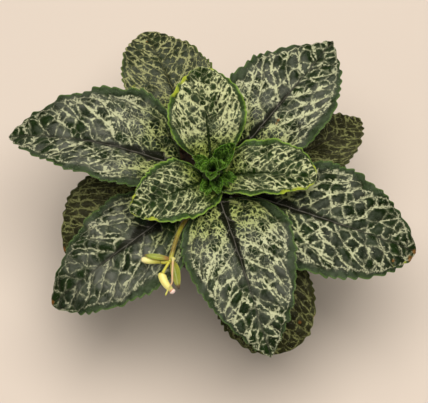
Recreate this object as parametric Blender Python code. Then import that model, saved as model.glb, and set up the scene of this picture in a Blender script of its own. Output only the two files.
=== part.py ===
"""Potted primulina: a rosette of toothed, silver-veined leaves with one flower stalk, in a nursery pot.

Metres, +Z up. The origin is the centre of the pot's underside, on the table. A compass heading is
counted in degrees from +X towards +Y, and a pitch in degrees above level.
"""

import math
from dataclasses import dataclass

import bmesh
import bpy
import numpy as np
from mathutils import Matrix, Vector

MM = 0.001
SEAT_GAP = 0.3 * MM

# Nursery pot: outer sizes, wall and drainage
POT_HEIGHT = 80 * MM
POT_FOOT_RADIUS = 31 * MM
POT_COLLAR_RADIUS = 45 * MM
POT_COLLAR_HEIGHT = 11 * MM
POT_COLLAR_STEP = 1.6 * MM
POT_WALL = 1.5 * MM
POT_FLOOR = 2.0 * MM
POT_EDGE = 0.8 * MM
POT_SIDES = 48
DRAIN_HOLES = 6
DRAIN_RADIUS = 3.5 * MM
DRAIN_CIRCLE = 21 * MM
DRAIN_SIDES = 12

# Potting mix: it fills the pot to a little under the lip
MIX_TOP = 71 * MM
MIX_CROWNING = 2.5 * MM
MIX_ROUGHNESS = 0.9 * MM
MIX_BUMP = 25 * MM
MIX_RINGS = 6
MIX_SIDES = 48

# Stem: a short stout column that carries every leaf stalk
STEM_FOOT = 58 * MM
STEM_TOP = 97 * MM
STEM_RADIUS = 6.5 * MM
STEM_DOME = 5 * MM
STEM_TAPER = 8 * MM
STEM_TAPER_INSET = 1.5 * MM
STEM_SIDES = 24

# Leaf blades: what all of them share
BLADE_THICKNESS = 0.9 * MM
STALK_THICKNESS = 3.4 * MM
STALK_HALF_WIDTH = 3.1 * MM
TIP_HALF_WIDTH = 0.5 * MM
STALK_CHANNEL = 12.0
ROOT_INSET = 3 * MM
STALK_STATIONS = 4
MIDRIB_STEPS = 240
TOOTH_LEAN = 0.7
TIP_SHARE = 0.997
ACROSS = [-1, -0.62, -0.12, 0, 0.12, 0.62, 1]

# Flower stalk and what it carries. Points are in millimetres, from root to tip.
STALK_SIDES = 10
STALK_PATH = [
    (-1.8, -2.6, 88), (-5.3, -10.3, 91), (-11.7, -22.5, 95.5), (-17.6, -32.8, 98), (-20.8, -40.7, 99.8),
    (-22.9, -48.1, 101), (-24.3, -54.0, 101.5), (-25.4, -58.5, 101.5), (-26.0, -60.0, 101.5),
]
STALK_RADIUS = 1.4 * MM
PEDICEL_RADIUS = 0.85 * MM
NODE = (-25.4, -58.5, 101.5)
PEDICEL_LEFT = [NODE, (-28.5, -59.9, 101.6), (-31, -59.7, 101.5)]
PEDICEL_FRONT = [NODE, (-28.0, -63.4, 101.7), (-29.8, -67.0, 101.6)]
PEDICEL_SPENT = [NODE, (-24.4, -58.4, 103.0), (-23.4, -58.3, 104.3)]
BUD_SIDES = 12
BUD_LEFT = [(-31, -59.7, 101.5), (-34, -59.2, 101.5), (-39, -58.8, 101.9), (-42.7, -58.3, 102)]
BUD_LEFT_RADII = [1.0, 1.05, 1.2, 1.6, 2.0, 2.1, 1.9, 1.4, 0.6]
BUD_FRONT = [
    (-29.8, -67.0, 101.6), (-30.0, -68.8, 101.5), (-28.4, -72.6, 101), (-25.2, -76.2, 99.6),
    (-23.9, -77.2, 99),
]
BUD_FRONT_RADII = [1.2, 2.4, 2.8, 2.8, 2.5, 2.0, 1.6, 1.5, 0.7]
PISTIL = [
    (-23.4, -58.3, 104.3), (-23.7, -60.5, 104.5), (-24.0, -67.3, 104.5), (-24.1, -73.6, 104),
    (-26.0, -77.0, 103.4), (-28.0, -80.8, 101),
]
PISTIL_RADII = [1.4, 1.5, 0.9, 0.75, 0.75, 0.75, 0.7, 0.65, 0.6, 0.55, 0.5, 0.5, 0.75, 0.5]
BRACT_THICKNESS = 0.7 * MM
BRACT_ROWS = 9
BRACT_LEFT = [(-26.2, -58.2, 102.9), (-30.6, -57.7, 104.4), (-35.5, -57.1, 105.4), (-41, -56.2, 104.4)]
BRACT_LEFT_WIDTH = 4.4 * MM
BRACT_RIGHT = [(-24.2, -59.2, 99.9), (-22.9, -63, 99.4), (-21.9, -68, 98.6), (-20.3, -75.0, 96.5)]
BRACT_RIGHT_WIDTH = 4.6 * MM

# Surface colours, linear
LEAF_GREEN = (0.035, 0.060, 0.022)
YOUNG_GREEN = (0.120, 0.190, 0.055)
OLD_GREEN = (0.030, 0.038, 0.016)


@dataclass(frozen=True)
class Leaf:
    """One leaf. Lengths are in millimetres and angles in degrees."""

    name: str
    heading: float
    sweep: float  # how far the midrib turns sideways between root and tip
    root_height: float
    rise: float  # pitch where the stalk leaves the stem
    tip_pitch: float
    stalk: float
    blade: float
    width: float
    widest: float  # where the blade is widest, as a share of its length
    base_power: float  # low is a blunt base, high a wedge
    tip_power: float  # low is a blunt tip, high a sharp one
    lobe: float  # how far one margin reaches back past the blade's foot: left if positive, else right
    fold: float  # slope of each half at the midrib
    cup: float  # slope of each half at the margin
    roll: float
    skew: float  # how much wider the left half is than the right one, as a share
    teeth: int
    tooth: float
    waves: float
    wave: float
    colour: tuple


def leaf(name, heading, sweep, root_height, pitch, size, outline, section, margin, colour):
    """A Leaf from its groups of values."""
    return Leaf(name, heading, sweep, root_height, *pitch, *size, *outline, *section, *margin, colour)


# name, heading, sweep, root height, (rise, tip pitch), (stalk, blade, width),
# (widest, base power, tip power, lobe), (fold, cup, roll, skew), (teeth, tooth, waves, wave), colour
LEAVES = [
    leaf("leaf_01_left", 162, 10, 86, (26, -24), (16, 114, 73), (0.34, 0.93, 0.90, 0),
         (18, 4, 12, -0.14), (14, 1.3, 5, 1.6), LEAF_GREEN),
    leaf("leaf_02_back_left", 113, -3, 80, (21, -22), (34, 83, 60), (0.42, 0.80, 0.82, 0),
         (8, 2, 10, 0.0), (14, 0.9, 4, 1.0), LEAF_GREEN),
    leaf("leaf_03_back", 98, 0, 88, (57, 34), (9, 59, 50), (0.54, 0.66, 0.72, 0),
         (26, 5, 1, 0.0), (12, 0.6, 4, 1.2), YOUNG_GREEN),
    leaf("leaf_04_back_right", 43, 13, 87, (30, -11), (16, 99, 72), (0.40, 0.85, 1.12, 0),
         (14, 2, -9, 0.0), (14, 1.3, 5, 1.4), LEAF_GREEN),
    leaf("leaf_05_right_under", 8, 40, 80, (21, -24), (34, 71, 45), (0.38, 0.80, 0.95, 0),
         (8, 2, -1, 0.0), (12, 1.0, 4, 1.2), OLD_GREEN),
    leaf("leaf_06_right", 331, 19, 85, (24, -28), (24, 107, 73), (0.40, 0.79, 0.74, 0),
         (8, -4, 2, 0.0), (14, 1.3, 5, 1.4), LEAF_GREEN),
    leaf("leaf_07_right_young", 355, -8, 90, (42, -4), (1, 61, 42), (0.46, 0.50, 0.55, -2),
         (34, 14, -1, 0.0), (11, 0.7, 4, 1.8), YOUNG_GREEN),
    leaf("leaf_08_front", 285, 3.5, 88, (26, -28), (12, 105, 68), (0.30, 0.67, 0.95, 0),
         (12, -6, 10, 0.04), (14, 1.1, 5, 1.4), LEAF_GREEN),
    leaf("leaf_09_front_under", 296, -6, 81, (18, -41), (32, 80, 60.5), (0.52, 0.80, 0.48, 0),
         (6, -2, 8, -0.055), (12, 1.0, 4, 1.2), OLD_GREEN),
    leaf("leaf_10_front_left", 224, -14.5, 83, (22, -37), (24, 100, 68), (0.31, 0.68, 0.76, 0),
         (8, -8, 7, 0.05), (14, 1.0, 5, 1.4), LEAF_GREEN),
    leaf("leaf_11_left_under", 198, 8, 79, (15, -36), (34, 65, 66), (0.45, 0.80, 0.85, 0),
         (8, 2, -3, 0.0), (12, 0.9, 4, 1.0), OLD_GREEN),
    leaf("leaf_12_left_young", 219, -18, 91, (44, -14), (1, 55, 42), (0.38, 0.40, 0.80, 6),
         (20, 0, -3, 0.02), (11, 0.8, 4, 1.4), YOUNG_GREEN),
    leaf("leaf_13_heart_left", 152, 4, 95, (66, 40), (1, 14, 10), (0.45, 0.60, 0.80, 0),
         (44, 30, 0, 0.0), (5, 0.3, 2, 0.3), YOUNG_GREEN),
    leaf("leaf_14_heart_right", 36, 4, 95, (70, 48), (1, 23, 15), (0.50, 0.60, 0.80, 0),
         (40, 24, 0, 0.0), (7, 0.4, 2, 0.4), YOUNG_GREEN),
    leaf("leaf_15_heart_front", 308, 0, 95, (56, 14), (1, 12, 6), (0.50, 0.60, 0.80, 0),
         (55, 45, 0, 0.0), (4, 0.2, 2, 0.2), YOUNG_GREEN),
]


def clear_scene():
    for obj in list(bpy.data.objects):
        bpy.data.objects.remove(obj, do_unlink=True)


def material(name, colour, roughness, metallic=0.0):
    made = bpy.data.materials.new(name)
    made.use_nodes = True
    shader = made.node_tree.nodes["Principled BSDF"]
    shader.inputs["Base Color"].default_value = (*colour, 1.0)
    shader.inputs["Roughness"].default_value = roughness
    shader.inputs["Metallic"].default_value = metallic
    made.diffuse_color = (*colour, 1.0)
    return made


def add_object(name, mesh, finish, smooth_angle=35.0):
    """Links a mesh as an object with one material, shaded smooth up to an angle."""
    mesh.shade_smooth()
    mesh.set_sharp_from_angle(angle=math.radians(smooth_angle))
    mesh.materials.append(finish)
    obj = bpy.data.objects.new(name, mesh)
    bpy.context.scene.collection.objects.link(obj)
    return obj


def as_cutter(obj):
    obj.hide_render = True
    obj.display_type = "WIRE"
    return obj


def boolean(obj, other, operation):
    cut = obj.modifiers.new(operation.lower() + "_" + other.name, "BOOLEAN")
    cut.operation = operation
    cut.solver = "EXACT"
    cut.object = other


def turned(name, profile, sides, finish):
    """A solid of revolution about Z, from a list of (radius, height) that starts and ends on the axis."""
    bm = bmesh.new()
    points = [bm.verts.new((radius, 0, height)) for radius, height in profile]
    edges = [bm.edges.new(pair) for pair in zip(points, points[1:])]
    bmesh.ops.spin(
        bm, geom=points + edges, cent=(0, 0, 0), axis=(0, 0, 1), angle=math.tau, steps=sides, use_merge=True
    )
    bmesh.ops.remove_doubles(bm, verts=bm.verts, dist=0.01 * MM)
    bmesh.ops.recalc_face_normals(bm, faces=bm.faces)
    mesh = bpy.data.meshes.new(name)
    bm.to_mesh(mesh)
    bm.free()
    return add_object(name, mesh, finish)


def pot_wall_radius(height, inset=0.0):
    """Radius of the pot's tapered outer wall at a height, drawn in by an inset."""
    slope = (POT_COLLAR_RADIUS - POT_COLLAR_STEP - POT_FOOT_RADIUS) / POT_HEIGHT
    return POT_FOOT_RADIUS + slope * height - inset


def make_pot(finish):
    """Thin tapered wall, a thicker collar at the lip, a flat floor with a ring of drainage holes."""
    collar_foot = POT_HEIGHT - POT_COLLAR_HEIGHT
    outside = [
        (0, 0),
        (POT_FOOT_RADIUS - POT_EDGE, 0),
        (POT_FOOT_RADIUS, POT_EDGE),
        (pot_wall_radius(collar_foot), collar_foot),
        (POT_COLLAR_RADIUS - POT_EDGE, collar_foot + POT_EDGE),
        (POT_COLLAR_RADIUS, POT_HEIGHT - POT_EDGE),
        (POT_COLLAR_RADIUS - POT_EDGE, POT_HEIGHT),
    ]
    inside = [
        (pot_wall_radius(POT_HEIGHT, POT_WALL), POT_HEIGHT),
        (pot_wall_radius(POT_FLOOR, POT_WALL), POT_FLOOR),
        (0, POT_FLOOR),
    ]
    pot = turned("pot", outside + inside, POT_SIDES, finish)
    for index in range(DRAIN_HOLES):
        angle = math.tau * (index / DRAIN_HOLES + 0.5 / POT_SIDES)
        bm = bmesh.new()
        bmesh.ops.create_cone(
            bm,
            cap_ends=True,
            segments=DRAIN_SIDES,
            radius1=DRAIN_RADIUS,
            radius2=DRAIN_RADIUS,
            depth=4 * POT_FLOOR,
        )
        place = Matrix.Translation((DRAIN_CIRCLE * math.cos(angle), DRAIN_CIRCLE * math.sin(angle), 0))
        bmesh.ops.transform(bm, matrix=place, verts=bm.verts)
        mesh = bpy.data.meshes.new(f"drain_{index + 1}")
        bm.to_mesh(mesh)
        bm.free()
        hole = as_cutter(add_object(f"drain_{index + 1}", mesh, finish))
        boolean(pot, hole, "DIFFERENCE")
    return pot


def mix_height(x, y):
    """Height of the potting mix's uneven, slightly mounded surface."""
    radius = pot_wall_radius(MIX_TOP, POT_WALL)
    mound = MIX_CROWNING * (1 - (x * x + y * y) / radius**2)
    along = math.tau * x / MIX_BUMP
    over = math.tau * y / MIX_BUMP
    bumps = math.sin(along + 1.0) * math.cos(1.1 * over) + 0.6 * math.sin(0.7 * along + 1.3 * over)
    return MIX_TOP + mound + MIX_ROUGHNESS * bumps / 1.6


def make_potting_mix(finish, stem_cutter):
    """The body of mix inside the pot, with a plain hole where the stem stands."""
    inset = POT_WALL + SEAT_GAP
    floor = POT_FLOOR + SEAT_GAP
    edge = pot_wall_radius(MIX_TOP, inset)
    rings = [(edge * (1 - k / MIX_RINGS), MIX_TOP) for k in range(MIX_RINGS)]
    profile = [(0, floor), (pot_wall_radius(floor, inset), floor), *rings, (0, MIX_TOP)]
    mix = turned("potting_mix", profile, MIX_SIDES, finish)
    for vertex in mix.data.vertices:
        if vertex.co.z > MIX_TOP - MM:
            vertex.co.z = mix_height(vertex.co.x, vertex.co.y)
    boolean(mix, stem_cutter, "DIFFERENCE")
    return mix


def stem_profile(grown=0.0):
    """The stem's outline, with its surface moved out by an amount."""
    shoulder = STEM_TOP - STEM_DOME
    dome = [
        ((STEM_RADIUS + grown) * math.cos(a), shoulder + (STEM_DOME + grown) * math.sin(a))
        for a in np.linspace(0, math.pi / 2, 5)[:-1]
    ]
    return [
        (0, STEM_FOOT - grown),
        (STEM_RADIUS - STEM_TAPER_INSET + grown, STEM_FOOT - grown),
        (STEM_RADIUS + grown, STEM_FOOT + STEM_TAPER),
        *dome,
        (0, STEM_TOP + grown),
    ]


def ramp(x):
    """Smooth step from 0 to 1."""
    x = np.clip(x, 0, 1)
    return x * x * (3 - 2 * x)


def half_width(shape, t):
    """Half width of the blade at a share t of its length, without teeth, in metres."""
    before = np.clip((shape.widest - t) / shape.widest, 0, 1)
    after = np.clip((t - shape.widest) / (1 - shape.widest), 0, 1)
    return shape.width * MM / 2 * (1 - before**2) ** shape.base_power * (1 - after**2) ** shape.tip_power


def midrib(shape, share):
    """Points, forward, sideways and upward directions along the midrib, at shares of the whole length."""
    fine = np.linspace(0, 1, MIDRIB_STEPS + 1)
    pitch = np.radians(shape.rise + (shape.tip_pitch - shape.rise) * fine)
    turn = np.radians(shape.heading + shape.sweep * fine)
    forward = np.stack([np.cos(pitch) * np.cos(turn), np.cos(pitch) * np.sin(turn), np.sin(pitch)], 1)
    length = (shape.stalk + shape.blade) * MM + STEM_RADIUS - ROOT_INSET
    steps = (forward[1:] + forward[:-1]) / 2 * length / MIDRIB_STEPS
    start = np.array([ROOT_INSET * np.cos(turn[0]), ROOT_INSET * np.sin(turn[0]), shape.root_height * MM])
    path = start + np.vstack([np.zeros(3), np.cumsum(steps, axis=0)])
    sideways = np.stack([-np.sin(turn), np.cos(turn), np.zeros_like(turn)], 1)
    upward = np.cross(forward, sideways)
    roll = np.radians(shape.roll) * ramp((fine - 0.1) / 0.4)[:, None]
    rolled = sideways * np.cos(roll) + upward * np.sin(roll)
    lifted = upward * np.cos(roll) - sideways * np.sin(roll)

    def at_share(values):
        return np.stack([np.interp(share, fine, values[:, k]) for k in range(3)], 1)

    return [at_share(values) for values in (path, forward, rolled, lifted)]


def leaf_surface(shape, index, t_blade, stalk_shares, across):
    """Mid-surface points (station, across, xyz), the upward directions and the thickness at each point.

    across runs from -1 at the right margin to 1 at the left one. Stations are the stalk's, then the blade's.
    """
    inner = (STEM_RADIUS - ROOT_INSET) / MM
    whole = inner + shape.stalk + shape.blade
    foot = (inner + shape.stalk) / whole
    share = np.concatenate([stalk_shares * foot, foot + (1 - foot) * t_blade])
    t = np.concatenate([np.zeros_like(stalk_shares), t_blade])
    path, forward, sideways, upward = midrib(shape, share)

    stalk_half = STALK_HALF_WIDTH + (TIP_HALF_WIDTH - STALK_HALF_WIDTH) * share
    stalk_half = np.minimum(stalk_half, shape.width * MM / 4)
    blade_half = half_width(shape, t) * (t > 0)
    fade = ramp(t / 0.1) * ramp((1 - t) / 0.06)
    scallop = 0.5 - 0.5 * np.cos(math.tau * shape.teeth * t)
    tooth = shape.tooth * MM * fade * (scallop - 0.5)
    half = np.hypot(stalk_half, blade_half) + tooth

    lobe = abs(shape.lobe) * MM * (1 - ramp(t / 0.4)) * np.minimum(1, blade_half / (shape.width * MM / 4))

    draw = np.random.default_rng(100 + index)
    phases = draw.uniform(0, math.tau, 2)
    fold = np.radians(STALK_CHANNEL + (shape.fold - STALK_CHANNEL) * ramp(t / 0.2))
    bend = np.radians(STALK_CHANNEL + (shape.cup - STALK_CHANNEL) * ramp(t / 0.2)) - fold
    bend = np.where(np.abs(bend) < 1e-3, 1e-3, bend)

    points = np.zeros((len(share), len(across), 3))
    thickness = np.zeros((len(share), len(across)))
    rib = BLADE_THICKNESS + (STALK_THICKNESS - BLADE_THICKNESS) * (1 - share) ** 1.4
    rib = np.minimum(rib, BLADE_THICKNESS + shape.width * MM / 16)
    for column, position in enumerate(across):
        side = 1 if position >= 0 else -1
        u = abs(position)
        slope = fold + bend * u
        reach = half * (1 + side * shape.skew * ramp(t / 0.2))
        out = reach / bend * (np.sin(slope) - np.sin(fold))
        lift = reach / bend * (np.cos(fold) - np.cos(slope))
        phase = phases[0] if side > 0 else phases[1]
        ripple = shape.wave * MM * u**3 * np.sin(math.tau * shape.waves * t + phase) * np.sin(math.pi * t)
        shift = TOOTH_LEAN * tooth * u**8 - lobe * u**2 * (side * shape.lobe > 0)
        points[:, column] = (
            path
            + sideways * (side * out)[:, None]
            + upward * (lift + ripple)[:, None]
            + forward * shift[:, None]
        )
        keel = np.clip(1 - (u * reach / (1.25 * stalk_half)) ** 2, 0, 1)
        thickness[:, column] = BLADE_THICKNESS + (rib - BLADE_THICKNESS) * keel
    return points, upward, thickness


def loft_triangles(rows, columns):
    """Faces of a closed slab: an upper and a lower grid of the same triangles, joined round their rim."""
    lower = rows * columns
    faces = []
    for i in range(rows - 1):
        for j in range(columns - 1):
            a, b = i * columns + j, i * columns + j + 1
            c, d = a + columns, b + columns
            halves = [(a, b, d), (a, d, c)] if (i + j) % 2 else [(a, b, c), (b, d, c)]
            faces += halves
            faces += [tuple(lower + v for v in reversed(tri)) for tri in halves]
    rim = list(range(columns))
    rim += [i * columns + columns - 1 for i in range(1, rows)]
    rim += [(rows - 1) * columns + j for j in range(columns - 2, -1, -1)]
    rim += [i * columns for i in range(rows - 2, 0, -1)]
    for a, b in zip(rim, rim[1:] + rim[:1]):
        faces.append((b, a, lower + a, lower + b))
    return faces


def slab_mesh(name, points, upward, thickness):
    """A closed sheet of the given thickness about a grid of points."""
    rows, columns = points.shape[:2]
    offset = upward[:, None, :] * BLADE_THICKNESS / 2
    upper = points + offset
    lower = points + offset - upward[:, None, :] * thickness[:, :, None]
    vertices = np.vstack([upper.reshape(-1, 3), lower.reshape(-1, 3)])
    mesh = bpy.data.meshes.new(name)
    mesh.from_pydata(vertices.tolist(), [], loft_triangles(rows, columns))
    mesh.update()
    bm = bmesh.new()
    bm.from_mesh(mesh)
    bmesh.ops.recalc_face_normals(bm, faces=bm.faces)
    bm.to_mesh(mesh)
    bm.free()
    return mesh


def make_leaf(shape, index, finish, stem_cutter):
    """A leaf as one lofted sheet from stalk to tip, its root cut to the curve of the stem."""
    t_blade = np.linspace(0, 1, 2 * shape.teeth + 1)[1:]
    t_blade[-1] = TIP_SHARE
    stalk_shares = np.linspace(0, 1, STALK_STATIONS)
    points, upward, thickness = leaf_surface(shape, index, t_blade, stalk_shares, ACROSS)
    obj = add_object(shape.name, slab_mesh(shape.name, points, upward, thickness), finish)
    boolean(obj, stem_cutter, "DIFFERENCE")
    return obj


def tube_mesh(name, path, radii, sides):
    """A closed tube of changing radius along a path of points."""
    bm = bmesh.new()
    rings = []
    reference = Vector((0, 0, 1))
    for k, (point, radius) in enumerate(zip(path, radii)):
        ahead = path[min(k + 1, len(path) - 1)] - path[max(k - 1, 0)]
        across = ahead.cross(reference).normalized()
        over = across.cross(ahead).normalized()
        ring = []
        for s in range(sides):
            turn = math.tau * s / sides
            ring.append(bm.verts.new(point + radius * (across * math.cos(turn) + over * math.sin(turn))))
        rings.append(ring)
    for lower, upper in zip(rings, rings[1:]):
        for s in range(sides):
            bm.faces.new((lower[s], lower[(s + 1) % sides], upper[(s + 1) % sides], upper[s]))
    bm.faces.new(reversed(rings[0]))
    bm.faces.new(rings[-1])
    bmesh.ops.recalc_face_normals(bm, faces=bm.faces)
    mesh = bpy.data.meshes.new(name)
    bm.to_mesh(mesh)
    bm.free()
    return mesh


def curve_points(knots, count):
    """Points along a smooth curve through the knots, given in millimetres."""
    knots = [Vector(k) * MM for k in knots]
    padded = [2 * knots[0] - knots[1], *knots, 2 * knots[-1] - knots[-2]]
    points = []
    for k in range(count):
        place = (len(knots) - 1) * k / (count - 1)
        span = min(int(place), len(knots) - 2)
        x = place - span
        a, b, c, d = padded[span : span + 4]
        points.append(
            0.5 * (2 * b + (c - a) * x + (2 * a - 5 * b + 4 * c - d) * x * x + (3 * b - a - 3 * c + d) * x**3)
        )
    return points


def stations(count, values):
    """Values spread evenly over a number of stations, blended between."""
    return np.interp(np.linspace(0, 1, count), np.linspace(0, 1, len(values)), values).tolist()


def make_tube(name, knots, radii, sides, count, finish):
    """A closed tube through the knots, its radii in metres blended along it."""
    path = curve_points(knots, count)
    return add_object(name, tube_mesh(name, path, stations(count, radii), sides), finish)


def make_flower_stalk(finish, stem_cutter):
    """The peduncle and its three pedicels as one body, and a clearance for each."""
    branches = [
        ("peduncle", STALK_PATH, [STALK_RADIUS * 1.1, STALK_RADIUS, STALK_RADIUS * 0.9], 20),
        ("pedicel_left", PEDICEL_LEFT, [PEDICEL_RADIUS, PEDICEL_RADIUS], 6),
        ("pedicel_front", PEDICEL_FRONT, [PEDICEL_RADIUS, PEDICEL_RADIUS], 6),
        ("pedicel_spent", PEDICEL_SPENT, [PEDICEL_RADIUS, PEDICEL_RADIUS], 5),
    ]
    clearances = []
    stalk = None
    for name, knots, radii, count in branches:
        body = make_tube(name, knots, radii, STALK_SIDES, count, finish)
        wide = [radius + SEAT_GAP for radius in radii]
        end, before = Vector(knots[-1]), Vector(knots[-2])
        longer = [*knots[:-1], end + (end - before).normalized() * SEAT_GAP / MM]
        clearances.append(as_cutter(make_tube(name + "_clearance", longer, wide, STALK_SIDES, count, finish)))
        if stalk is None:
            stalk = body
            stalk.name = "flower_stalk"
            continue
        boolean(stalk, as_cutter(body), "UNION")
    boolean(stalk, stem_cutter, "DIFFERENCE")
    return clearances


def make_bract(name, knots, width, finish, clearances):
    """A small boat-shaped leaf under the flowers, a folded blade that tapers to a point."""
    path = curve_points(knots, BRACT_ROWS)
    across = np.array([-1, -0.5, 0, 0.5, 1])
    points = np.zeros((BRACT_ROWS, len(across), 3))
    upward = np.zeros((BRACT_ROWS, 3))
    for k, point in enumerate(path):
        ahead = (path[min(k + 1, BRACT_ROWS - 1)] - path[max(k - 1, 0)]).normalized()
        side = Vector((0, 0, 1)).cross(ahead).normalized()
        up = ahead.cross(side)
        share = k / (BRACT_ROWS - 1)
        half = width / 2 * max(math.sin(math.pi * (0.14 + 0.84 * share)) ** 0.8, 0.12)
        for column, u in enumerate(across):
            points[k, column] = point + side * (u * half * 0.9) + up * (abs(u) * half * 0.45)
        upward[k] = up
    thickness = np.full(points.shape[:2], BRACT_THICKNESS)
    bract = add_object(name, slab_mesh(name, points, upward, thickness), finish)
    for clearance in clearances:
        boolean(bract, clearance, "DIFFERENCE")


def make_flowers(stalk_skin, petal, bract_skin, stem_cutter):
    """One stalk that carries two buds, the pistil of a spent flower and two bracts."""
    clearances = make_flower_stalk(stalk_skin, stem_cutter)
    blooms = [
        ("bud_left", BUD_LEFT, BUD_LEFT_RADII, 9),
        ("bud_front", BUD_FRONT, BUD_FRONT_RADII, 9),
        ("pistil", PISTIL, PISTIL_RADII, 14),
    ]
    for name, knots, radii, count in blooms:
        bloom = make_tube(name, knots, [radius * MM for radius in radii], BUD_SIDES, count, petal)
        for clearance in clearances:
            boolean(bloom, clearance, "DIFFERENCE")
    make_bract("bract_left", BRACT_LEFT, BRACT_LEFT_WIDTH, bract_skin, clearances)
    make_bract("bract_right", BRACT_RIGHT, BRACT_RIGHT_WIDTH, bract_skin, clearances)


def main():
    clear_scene()
    pot_plastic = material("pot_plastic", (0.030, 0.029, 0.027), 0.45)
    potting_mix = material("potting_mix", (0.055, 0.036, 0.022), 0.95)
    stem_skin = material("stem_skin", (0.150, 0.130, 0.050), 0.60)

    stem = turned("stem", stem_profile(), STEM_SIDES, stem_skin)
    stem_cutter = as_cutter(turned("stem_clearance", stem_profile(SEAT_GAP), STEM_SIDES, stem_skin))
    make_pot(pot_plastic)
    make_potting_mix(potting_mix, stem_cutter)
    stalk_skin = material("stalk_skin", (0.180, 0.150, 0.020), 0.50)
    petal = material("petal", (0.850, 0.720, 0.330), 0.50)
    bract_skin = material("bract_skin", (0.300, 0.350, 0.050), 0.50)
    make_flowers(stalk_skin, petal, bract_skin, stem_cutter)
    finishes = {}
    for index, shape in enumerate(LEAVES):
        if shape.colour not in finishes:
            finishes[shape.colour] = material(f"leaf_{len(finishes) + 1}", shape.colour, 0.40)
        make_leaf(shape, index, finishes[shape.colour], stem_cutter)


main()
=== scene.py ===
# %% [markdown]
# # A potted primulina
#
# This script dresses the plain solids of a potted primulina: fifteen leaves in a rosette, a flower stalk in
# bud, a short stem, potting mix and a nursery pot. The solids fix where everything is and how big it is.
# The script adds what the eye sees: fine blades with teeth and veins, hairs, bark and perlite, and finishes
# made only of nodes. Lengths are in metres, +Z is up, and the pot's underside is at the origin.

# %% Load the frame
import math
from dataclasses import dataclass
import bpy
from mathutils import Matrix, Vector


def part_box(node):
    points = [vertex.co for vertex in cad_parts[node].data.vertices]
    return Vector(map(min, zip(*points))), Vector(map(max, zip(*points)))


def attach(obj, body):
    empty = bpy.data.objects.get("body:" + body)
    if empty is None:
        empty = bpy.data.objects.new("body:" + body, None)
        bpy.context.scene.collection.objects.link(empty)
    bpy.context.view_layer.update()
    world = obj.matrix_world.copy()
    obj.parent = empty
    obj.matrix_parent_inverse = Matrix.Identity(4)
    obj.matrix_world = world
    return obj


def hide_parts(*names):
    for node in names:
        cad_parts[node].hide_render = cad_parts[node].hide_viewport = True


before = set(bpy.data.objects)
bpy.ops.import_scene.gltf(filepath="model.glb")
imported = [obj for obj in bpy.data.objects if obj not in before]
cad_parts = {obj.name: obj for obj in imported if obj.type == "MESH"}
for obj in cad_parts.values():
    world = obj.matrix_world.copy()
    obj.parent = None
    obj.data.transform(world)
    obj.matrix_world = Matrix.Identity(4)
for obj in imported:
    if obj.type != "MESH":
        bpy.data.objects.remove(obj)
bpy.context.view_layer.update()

from types import SimpleNamespace

import bmesh
import bpy
import numpy as np
from mathutils import Matrix, Vector

MM = 0.001

# %% [markdown]
# ## The camera
#
# The photograph looks down on the plant at 66 degrees from the table, from about 0.85 m. At that distance a
# pixel of the 428 x 403 picture is 0.62 mm at the crown, and the crown lies at pixel (213, 179). From those
# few values follow the lens and the place of the camera, so nothing has to be lined up by eye.

# %% Camera
PHOTO_WIDTH, PHOTO_HEIGHT = 428, 403
CROWN_PIXEL = (213, 179)
CROWN_CENTRE = Vector((0, 0, 90 * MM))
MM_PER_PIXEL = 0.62
VIEW_DISTANCE = 0.85
VIEW_ELEVATION = math.radians(66)
SENSOR_WIDTH = 36.0


def make_camera():
    """The camera of the photograph, shifted so that the crown falls on its own pixel."""
    focal_pixels = VIEW_DISTANCE / (MM_PER_PIXEL * MM)
    right = Vector((1, 0, 0))
    up = Vector((0, math.sin(VIEW_ELEVATION), math.cos(VIEW_ELEVATION)))
    back = Vector((0, -math.cos(VIEW_ELEVATION), math.sin(VIEW_ELEVATION)))
    across = (CROWN_PIXEL[0] - PHOTO_WIDTH / 2) / focal_pixels
    over = (PHOTO_HEIGHT / 2 - CROWN_PIXEL[1]) / focal_pixels
    data = bpy.data.cameras.new("camera")
    data.sensor_width = SENSOR_WIDTH
    data.lens = focal_pixels * SENSOR_WIDTH / PHOTO_WIDTH
    camera = bpy.data.objects.new("camera", data)
    camera.location = CROWN_CENTRE + VIEW_DISTANCE * (back - across * right - over * up)
    camera.rotation_euler = (math.pi / 2 - VIEW_ELEVATION, 0, 0)
    bpy.context.scene.collection.objects.link(camera)
    bpy.context.scene.camera = camera
    return camera


camera = make_camera()
print("lens", round(camera.data.lens, 1), "mm, camera at", [round(v, 3) for v in camera.location])

# %% [markdown]
# ## Helpers for nodes and colours
#
# A finish is a small graph of nodes. One function adds any node: sockets get a value or a link, and the
# remaining names are the node's own settings. Colours are written as sRGB hex values, as a paint program
# shows them, and turned to the linear values that Blender works in.

# %% Nodes and colours
MATH, VECTOR, RANGE, MIX = "ShaderNodeMath", "ShaderNodeVectorMath", "ShaderNodeMapRange", "ShaderNodeMix"
NOISE, CELLS, SPLIT = "ShaderNodeTexNoise", "ShaderNodeTexVoronoi", "ShaderNodeSeparateXYZ"
STORED, RANDOM = "GeometryNodeInputNamedAttribute", "FunctionNodeRandomValue"


def feed(tree, socket, value):
    """Gives a socket a plain value, or a link from a socket or from a node's first output in use."""
    if isinstance(value, bpy.types.Node):
        value = next(output for output in value.outputs if output.enabled)
    if isinstance(value, bpy.types.NodeSocket):
        tree.links.new(value, socket)
    else:
        socket.default_value = value


def add(tree, kind, sockets=None, **settings):
    """Adds a node with its settings, and feeds its named or numbered sockets."""
    made = tree.nodes.new(kind)
    for name, value in settings.items():
        setattr(made, name, value)
    for key, value in (sockets or {}).items():
        feed(tree, made.inputs[key], value)
    return made


def colour(code):
    """A linear RGBA colour from an sRGB hex code."""
    parts = [int(code[k : k + 2], 16) / 255 for k in (1, 3, 5)]
    linear = [c / 12.92 if c <= 0.04045 else ((c + 0.055) / 1.055) ** 2.4 for c in parts]
    return (*linear, 1.0)


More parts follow.
